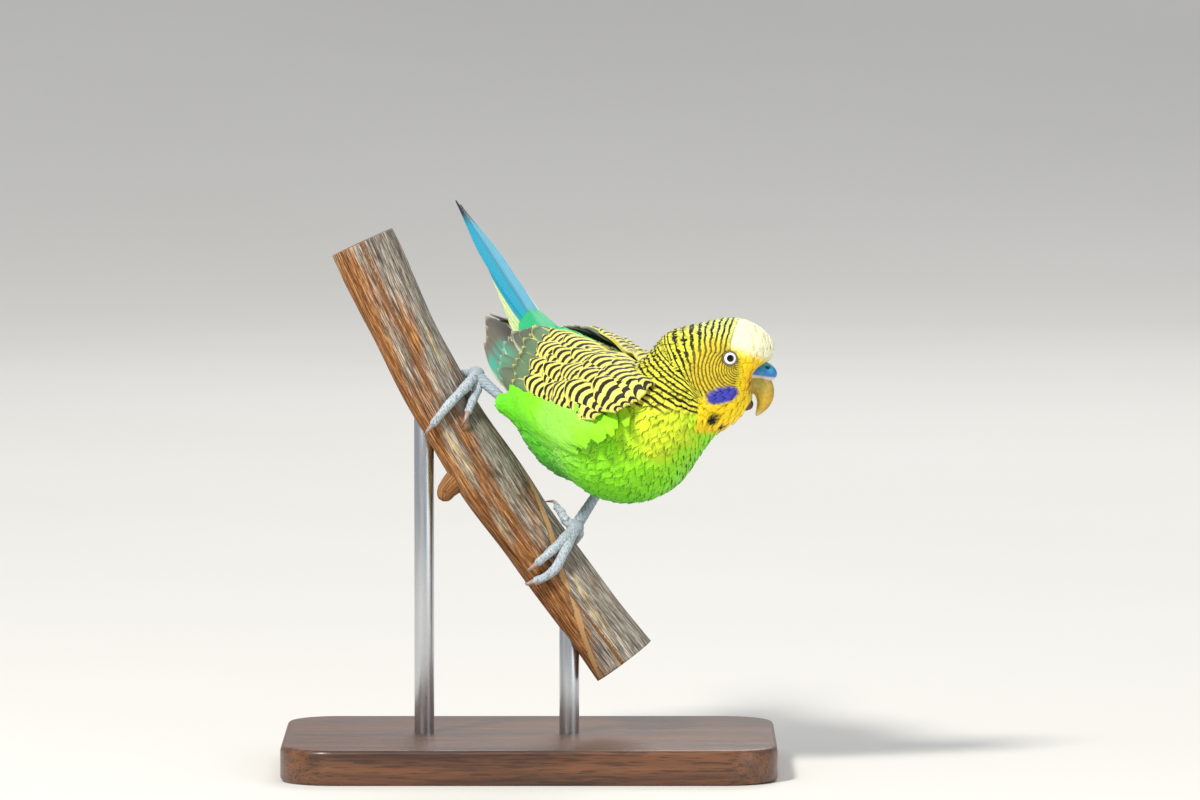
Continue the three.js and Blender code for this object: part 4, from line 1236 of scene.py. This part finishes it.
bm = bmesh.new()
path = Curve([in_head(4.5, 0, -1.4), in_head(8, 0, -0.7), in_head(11, 0, -1.9)])
blunt = lambda s: np.sqrt(np.clip(1 - s**6, 0, 1))
size = lambda s: (mix(3.2, 2.6, s) * blunt(s), mix(2.2, 1.9, s) * blunt(s))
made, places, share, _ = add_limb(bm, path, size, HEAD[2], 64, 56)
height = head_place(places)[2]
nostril = np.minimum(*(np.linalg.norm(places - in_head(9.1, side * 1.9, 0.5), axis=1) for side in (-1, 1)))
pit = smooth(0.9, 0.35, nostril)[:, None]
swell = smooth(1.6, 0.8, nostril)[:, None] - pit
places = places + unit(places - in_head(8, 0, -1.2)) * (0.12 * swell - 0.55 * pit)
move_corners(made, places)
cere_tint = over(plain("#1fa0cc", len(share)), paint("#1f74c0"), smooth(-1, 0.5, wander(places, 1.4)))
cere_tint = over(cere_tint, paint("#3cc0c0"), smooth(-0.2, 1.2, height) * 0.7)
cere_tint = over(cere_tint, paint("#e8dcd8"), smooth(-1.5, -2.1, height))
# Painted shade: the nostril pits are painted near black for the shade inside them.
cere_tint = over(cere_tint, paint("#0a1622"), pit[:, 0])
mesh = finished(bm, "cere")
carry_tint(mesh, cere_tint)
show(mesh, "cere_pad", cere_material, ["cere"])

# %% [markdown]
# The branch. Its axis is a curve and its surface is a slowly varying radius about it. Weathered
# wood has long shallow cracks, so the corners are pressed in, never out, by a noise that is
# stretched along the grain, and the toes keep their hold. The finish reads the place round and
# along the branch, greys the side that faces the weather and browns the other.

# %% Branch
BRANCH_RADIUS, BRANCH_SWELL = 7.4, 0.35
branch_axis = Curve(
    [(-38, 0.5, 120), (-27.4, 0, 97.6), (-17.6, -0.3, 79.5), (-5.1, 0, 60.6), (8.3, 0.3, 42.1), (21.5, 0, 24.5)]
)
TOWARDS_VIEWER = np.array([0, -1, 0])


def on_branch(along, degrees, height=0.0):
    """A point so far down the branch, at an angle from its upper right side towards the viewer."""
    along, angle = np.asarray(along, float), np.radians(degrees)
    share = along / branch_axis.length
    tangent = branch_axis.tangent(share)
    upper_right = unit(np.cross(TOWARDS_VIEWER, tangent))
    upper_right = upper_right * np.sign(upper_right[..., :1])
    near = unit(np.cross(upper_right, tangent))
    near = near * -np.sign(near[..., 1:2])
    lumps = np.sin(along * 0.11 + 1.3) + 0.6 * np.sin(along * 0.23 + 2 * angle)
    radius = BRANCH_RADIUS + BRANCH_SWELL * lumps * 0.6 + height
    offset = upper_right * (radius * np.cos(angle))[..., None] + near * (radius * np.sin(angle))[..., None]
    return branch_axis.at(share) + offset


def grain_height(angle, along, fine):
    """Cracks and ridges along the grain, between about -1 and 1."""
    around = angle[:, None] * np.array([1, 2, 3, 5]) * fine + np.array([0, 1.3, 2.1, 4.0])
    drift = along[:, None] * np.array([0.05, 0.09, -0.07, 0.13]) + np.array([0.3, 2.0, 1.0, 5.0])
    return np.sin(around + 1.5 * np.sin(drift) + 0.6 * np.sin(along[:, None] * 0.31)).sum(1) / 4


WOOD_RINGS, CAP_RINGS, FIGURE_RADIUS = 300, 6, 7
bm = bmesh.new()
bmesh.ops.create_uvsphere(bm, u_segments=160, v_segments=WOOD_RINGS, radius=1)
ball = corners(bm)
share = np.arccos(np.clip(ball[:, 2], -1, 1)) / math.pi
angle = np.arctan2(ball[:, 1], ball[:, 0])
ring_row = share * WOOD_RINGS
capped = np.clip((ring_row - CAP_RINGS) / (WOOD_RINGS - 2 * CAP_RINGS), 0, 1)
beyond = np.maximum((CAP_RINGS - ring_row) / CAP_RINGS, (ring_row - WOOD_RINGS + CAP_RINGS) / CAP_RINGS)
cap = np.clip(beyond, 0, 1)
along = capped * branch_axis.length
crack = np.clip(grain_height(angle, along, 4) - 0.35, 0, 1)
height = -0.1 * (1 + grain_height(angle, along, 2)) - 0.35 * crack - 0.4 * smooth(0, 0.15, cap) * (cap < 1)
rim_place = on_branch(along, np.degrees(angle), height)
middle = branch_axis.at(capped)
inward = np.clip((cap - 0.15) / 0.85, 0, 1)[:, None]
move_corners(bm.verts, mix(rim_place, middle, inward))
figure = FIGURE_RADIUS * (1 - inward[:, 0])
bark = [np.stack([np.cos(angle) * figure, np.sin(angle) * figure, along], -1)]
facts = [np.stack([cap > 0.1, inward[:, 0], np.cos(angle - 0.5)], -1)]
knot_path = Curve([on_branch(57, 172, -3), on_branch(58, 172, 2.1), on_branch(59.5, 172, 4.2)])
KNOT_RADIUS = 2.6
knot_size = lambda s: (KNOT_RADIUS * np.sqrt(1 - s**4) * (1 + 0.06 * np.sin(7 * s)),) * 2
_, _, share, angle = add_limb(bm, knot_path, knot_size, TOWARDS_VIEWER, 36, 24)
bark.append(np.stack([np.cos(angle) * FIGURE_RADIUS, np.sin(angle) * FIGURE_RADIUS, 57 + share * 6], -1))
facts.append(np.stack([0 * share, 0 * share, 0 * share - 1], -1))
branch_mesh = finished(bm, "branch")
carry(branch_mesh, "bark", "FLOAT_VECTOR", np.concatenate(bark))
carry(branch_mesh, "wood", "FLOAT_VECTOR", np.concatenate(facts))


def dead_wood():
    mat = Recipe("dead_wood", Roughness=0.85, Specular_IOR_Level=0.2)
    bark = mat.attribute("bark")
    wood = mat.attribute("wood")
    cut, rings, weather = (mat.part(wood, axis) for axis in "XYZ")
    down = mat.part(bark, "Z")
    streaks = mat.noise(mat.stretched(bark, (1.6, 1.6, 0.09)), 1.0, 6.0, 0.62)
    fine = mat.noise(mat.stretched(bark, (5.0, 5.0, 0.3)), 1.0, 5.0, 0.65)
    patches = mat.noise(mat.stretched(bark, (0.16, 0.16, 0.05)), 1.0, 4.0, 0.55)
    grey = mat.blended(mat.between(streaks, 0.3, 0.7), paint("#7a7268"), paint("#dad1c2"))
    brown = mat.blended(mat.between(streaks, 0.32, 0.68), paint("#875028"), paint("#e2a468"))
    side = mat.maths("MULTIPLY_ADD", weather, 0.22, patches)
    side = mat.maths("MULTIPLY_ADD", down, -0.0016, side)
    colour = mat.blended(mat.between(side, 0.4, 0.6), brown, grey)
    colour = mat.blended(mat.between(patches, 0.6, 0.72, 0.0, 0.75), colour, paint("#ecd2a0"))
    colour = mat.blended(mat.between(fine, 0.62, 0.42, 0.0, 0.75), colour, paint("#4a3424"), "MULTIPLY")
    year = mat.maths("SINE", mat.maths("MULTIPLY", rings, 55.0))
    end = mat.blended(mat.between(year, -1.0, 1.0), paint("#a57b4e"), paint("#c9a273"))
    colour = mat.blended(cut, colour, end)
    sawn = mat.maths("SUBTRACT", 1.0, cut)
    broad = mat.raised(mat.maths("MULTIPLY", streaks, sawn), 0.6, 0.5 * MM)
    bump = mat.raised(mat.maths("MULTIPLY", fine, sawn), 0.7, 0.25 * MM, broad)
    return mat.done(Base_Color=colour, Normal=bump)


show(branch_mesh, "branch_wood", dead_wood(), ["perch_branch"])

# %% [markdown]
# The feet. Each has two toes ahead and two behind, wrapped over the branch, and a scaly shank.
# Rows of scutes show as low rings along each toe. The claws are curved points of horn.

# %% Feet and claws
FEET = {
    "right": {
        "ball": (39, 6, 2.6),
        "ankle": in_trunk(-12.5, -17.5, -2.5),
        "toes": [
            (1.15, [(40, 40, 1.6), (41.2, 72, 1.3), (42.6, 98, 1.2), (43.8, 118, 1)]),
            (1.1, [(42, 20, 1.6), (43.6, 42, 1.3), (45.5, 62, 1.1)]),
            (1.1, [(38, -28, 1.6), (37, -60, 1.3), (36.5, -92, 1.1)]),
            (1.05, [(40, -30, 1.6), (41.5, -52, 1.3), (42.5, -72, 1.1)]),
        ],
    },
    "left": {
        "ball": (81.5, 16, 2.5),
        "ankle": in_trunk(-7, 5, -21),
        "toes": [
            (1.15, [(82, 62, 1.4), (82.4, 88, 1.2), (82.6, 106, 1.1)]),
            (1.2, [(84, 60, 1.5), (86, 86, 1.3), (86.2, 108, 1.2), (85.6, 128, 1.1)]),
            (1.05, [(79, 20, 1.6), (77, 6, 1.3), (75.3, -10, 1.1)]),
            (1.1, [(83.5, -8, 1.6), (84.5, -38, 1.3), (85, -68, 1.1)]),
        ],
    },
}
GAP = 0.3
SCUTE = 0.62


def scuted(radius_at, length):
    """Makes a toe's radius swell between the grooves of its scutes."""

    def size(s):
        rings = np.abs(np.sin(math.pi * s * length / SCUTE / 2))
        radius = radius_at(s) * (0.9 + 0.1 * rings**0.5) * np.sqrt(np.clip(1 - (2 * s - 1) ** 30, 0, 1))
        return radius, radius

    return size


foot_material = tinted("foot_skin", 0.6, coat=0.05, grain=1800.0, depth=0.08)
claw_material = tinted("claw_horn", 0.35, coat=0.3, grain=1500.0, depth=0.02)
for side_name, foot in FEET.items():
    ball_place = on_branch(*foot["ball"])
    bm = bmesh.new()
    tints = []
    shank = Curve([foot["ankle"], mix(foot["ankle"], ball_place, 0.5), ball_place])
    _, _, share, angle = add_limb(bm, shank, scuted(lambda s: mix(0.95, 1.45, s), shank.length), TOWARDS_VIEWER, 24, 70)
    grooves = np.abs(np.sin(math.pi * share * shank.length / SCUTE / 2))
    tints.append(over(plain("#6f7c86", len(share)), paint("#a9b7c2"), smooth(0.1, 0.6, grooves)))
    pad = bmesh.ops.create_uvsphere(bm, u_segments=28, v_segments=20, radius=2.0)["verts"]
    bmesh.ops.translate(bm, vec=ball_place, verts=pad)
    tints.append(plain("#a3b0ba", len(pad)))
    for index, (radius, points) in enumerate(foot["toes"], 1):
        toe = Curve([ball_place] + [on_branch(a, d, lift + GAP) for a, d, lift in points])
        taper = lambda s, r=radius: r * mix(1.15, 0.8, s) * (1 + 0.06 * np.cos(2 * math.pi * s * 3))
        _, _, share, angle = add_limb(bm, toe, scuted(taper, toe.length), TOWARDS_VIEWER, 22, 64)
        grooves = np.abs(np.sin(math.pi * share * toe.length / SCUTE / 2))
        tints.append(over(plain("#747f88", len(share)), paint("#c3ced6"), smooth(0.1, 0.55, grooves)))
        before, last = points[-2], points[-1]
        step = np.array([last[0] - before[0], last[1] - before[1]])
        step = step / math.hypot(step[0], math.radians(step[1]) * 8)
        ahead = lambda mm, lift: on_branch(last[0] + step[0] * mm, last[1] + step[1] * mm, lift)
        claw = Curve([ahead(-0.4, last[2] + GAP), ahead(1.6, 1.9), ahead(3.6, 0.55)])
        claw_bm = bmesh.new()
        pointed = lambda s: (mix(0.68, 0.1, s), mix(0.78, 0.1, s))
        _, _, share, _ = add_limb(claw_bm, claw, pointed, TOWARDS_VIEWER, 20, 24)
        claw_mesh = finished(claw_bm, "claw")
        carry_tint(claw_mesh, over(plain("#b39a90", len(share)), paint("#4a3a34"), smooth(0.3, 1, share)))
        show(claw_mesh, f"claw_horn_{side_name}_{index}", claw_material, [f"claw_{side_name}_{index}"])
    foot_mesh = finished(bm, "foot")
    carry_tint(foot_mesh, np.concatenate(tints))
    show(foot_mesh, "toes_" + side_name, foot_material, ["foot_" + side_name])

# %% [markdown]
# The stand: a flat base of dark stained wood with rounded corners and a softened edge, and two
# polished steel rods. The base is a box whose upright edges and then whose rims are bevelled.

# %% Stand
def base_mesh():
    low, high = (np.array(corner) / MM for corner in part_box("stand_base"))
    bm = bmesh.new()
    bmesh.ops.create_cube(bm, size=1)
    bmesh.ops.scale(bm, vec=high - low, verts=bm.verts[:])
    bmesh.ops.translate(bm, vec=(low + high) / 2, verts=bm.verts[:])
    upright = [e for e in bm.edges if abs(e.verts[0].co.z - e.verts[1].co.z) > 1]
    bmesh.ops.bevel(bm, geom=upright, offset=12, segments=14, profile=0.5, affect="EDGES", material=-1)
    rims = [e for e in bm.edges if abs(e.verts[0].co.z - e.verts[1].co.z) < 0.01 and e.calc_face_angle(0) > 1]
    bmesh.ops.bevel(bm, geom=rims, offset=1.1, segments=4, profile=0.5, affect="EDGES", material=-1)
    return finished(bm, "base")


def stained_wood():
    mat = Recipe("base_wood", Roughness=0.4, Coat_Weight=0.25, Coat_Roughness=0.2)
    place = mat.place()
    figure = mat.noise(mat.stretched(place, (14.0, 160.0, 160.0)), 1.0, 6.0, 0.6, 0.6)
    pores = mat.noise(mat.stretched(place, (120.0, 2200.0, 2200.0)), 1.0, 3.0, 0.6)
    colour = mat.blended(mat.between(figure, 0.3, 0.72), paint("#3a2012"), paint("#7c4d2c"))
    colour = mat.blended(mat.between(pores, 0.5, 0.36, 0.0, 0.7), colour, paint("#2a170c"))
    rough = mat.between(figure, 0.2, 0.8, 0.32, 0.5)
    return mat.done(Base_Color=colour, Roughness=rough, Normal=mat.raised(pores, 0.4, 0.12 * MM))


def brushed_steel():
    mat = Recipe("rod_steel", Metallic=1.0, Roughness=0.28, Base_Color=(*paint("#c4c7ca"), 1))
    scratch = mat.noise(mat.stretched(mat.place(), (900.0, 900.0, 40.0)), 1.0, 4.0, 0.6)
    rough = mat.between(scratch, 0.2, 0.8, 0.2, 0.38)
    return mat.done(Roughness=rough, Normal=mat.raised(scratch, 0.15, 0.03 * MM))


show(base_mesh(), "base_block", stained_wood(), ["stand_base"])
steel = brushed_steel()
for node in ("stand_rod_low", "stand_rod_high"):
    low, high = (np.array(corner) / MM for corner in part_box(node))
    bm = bmesh.new()
    radius = (high[0] - low[0]) / 2
    bmesh.ops.create_cone(bm, cap_ends=True, segments=64, radius1=radius, radius2=radius, depth=high[2] - low[2])
    rims = [e for e in bm.edges if e.calc_face_angle(0) > 1]
    bmesh.ops.bevel(bm, geom=rims, offset=0.2, segments=2, profile=0.5, affect="EDGES", material=-1)
    bmesh.ops.translate(bm, vec=(low + high) / 2, verts=bm.verts[:])
    show(finished(bm, node), node + "_steel", steel, [node])
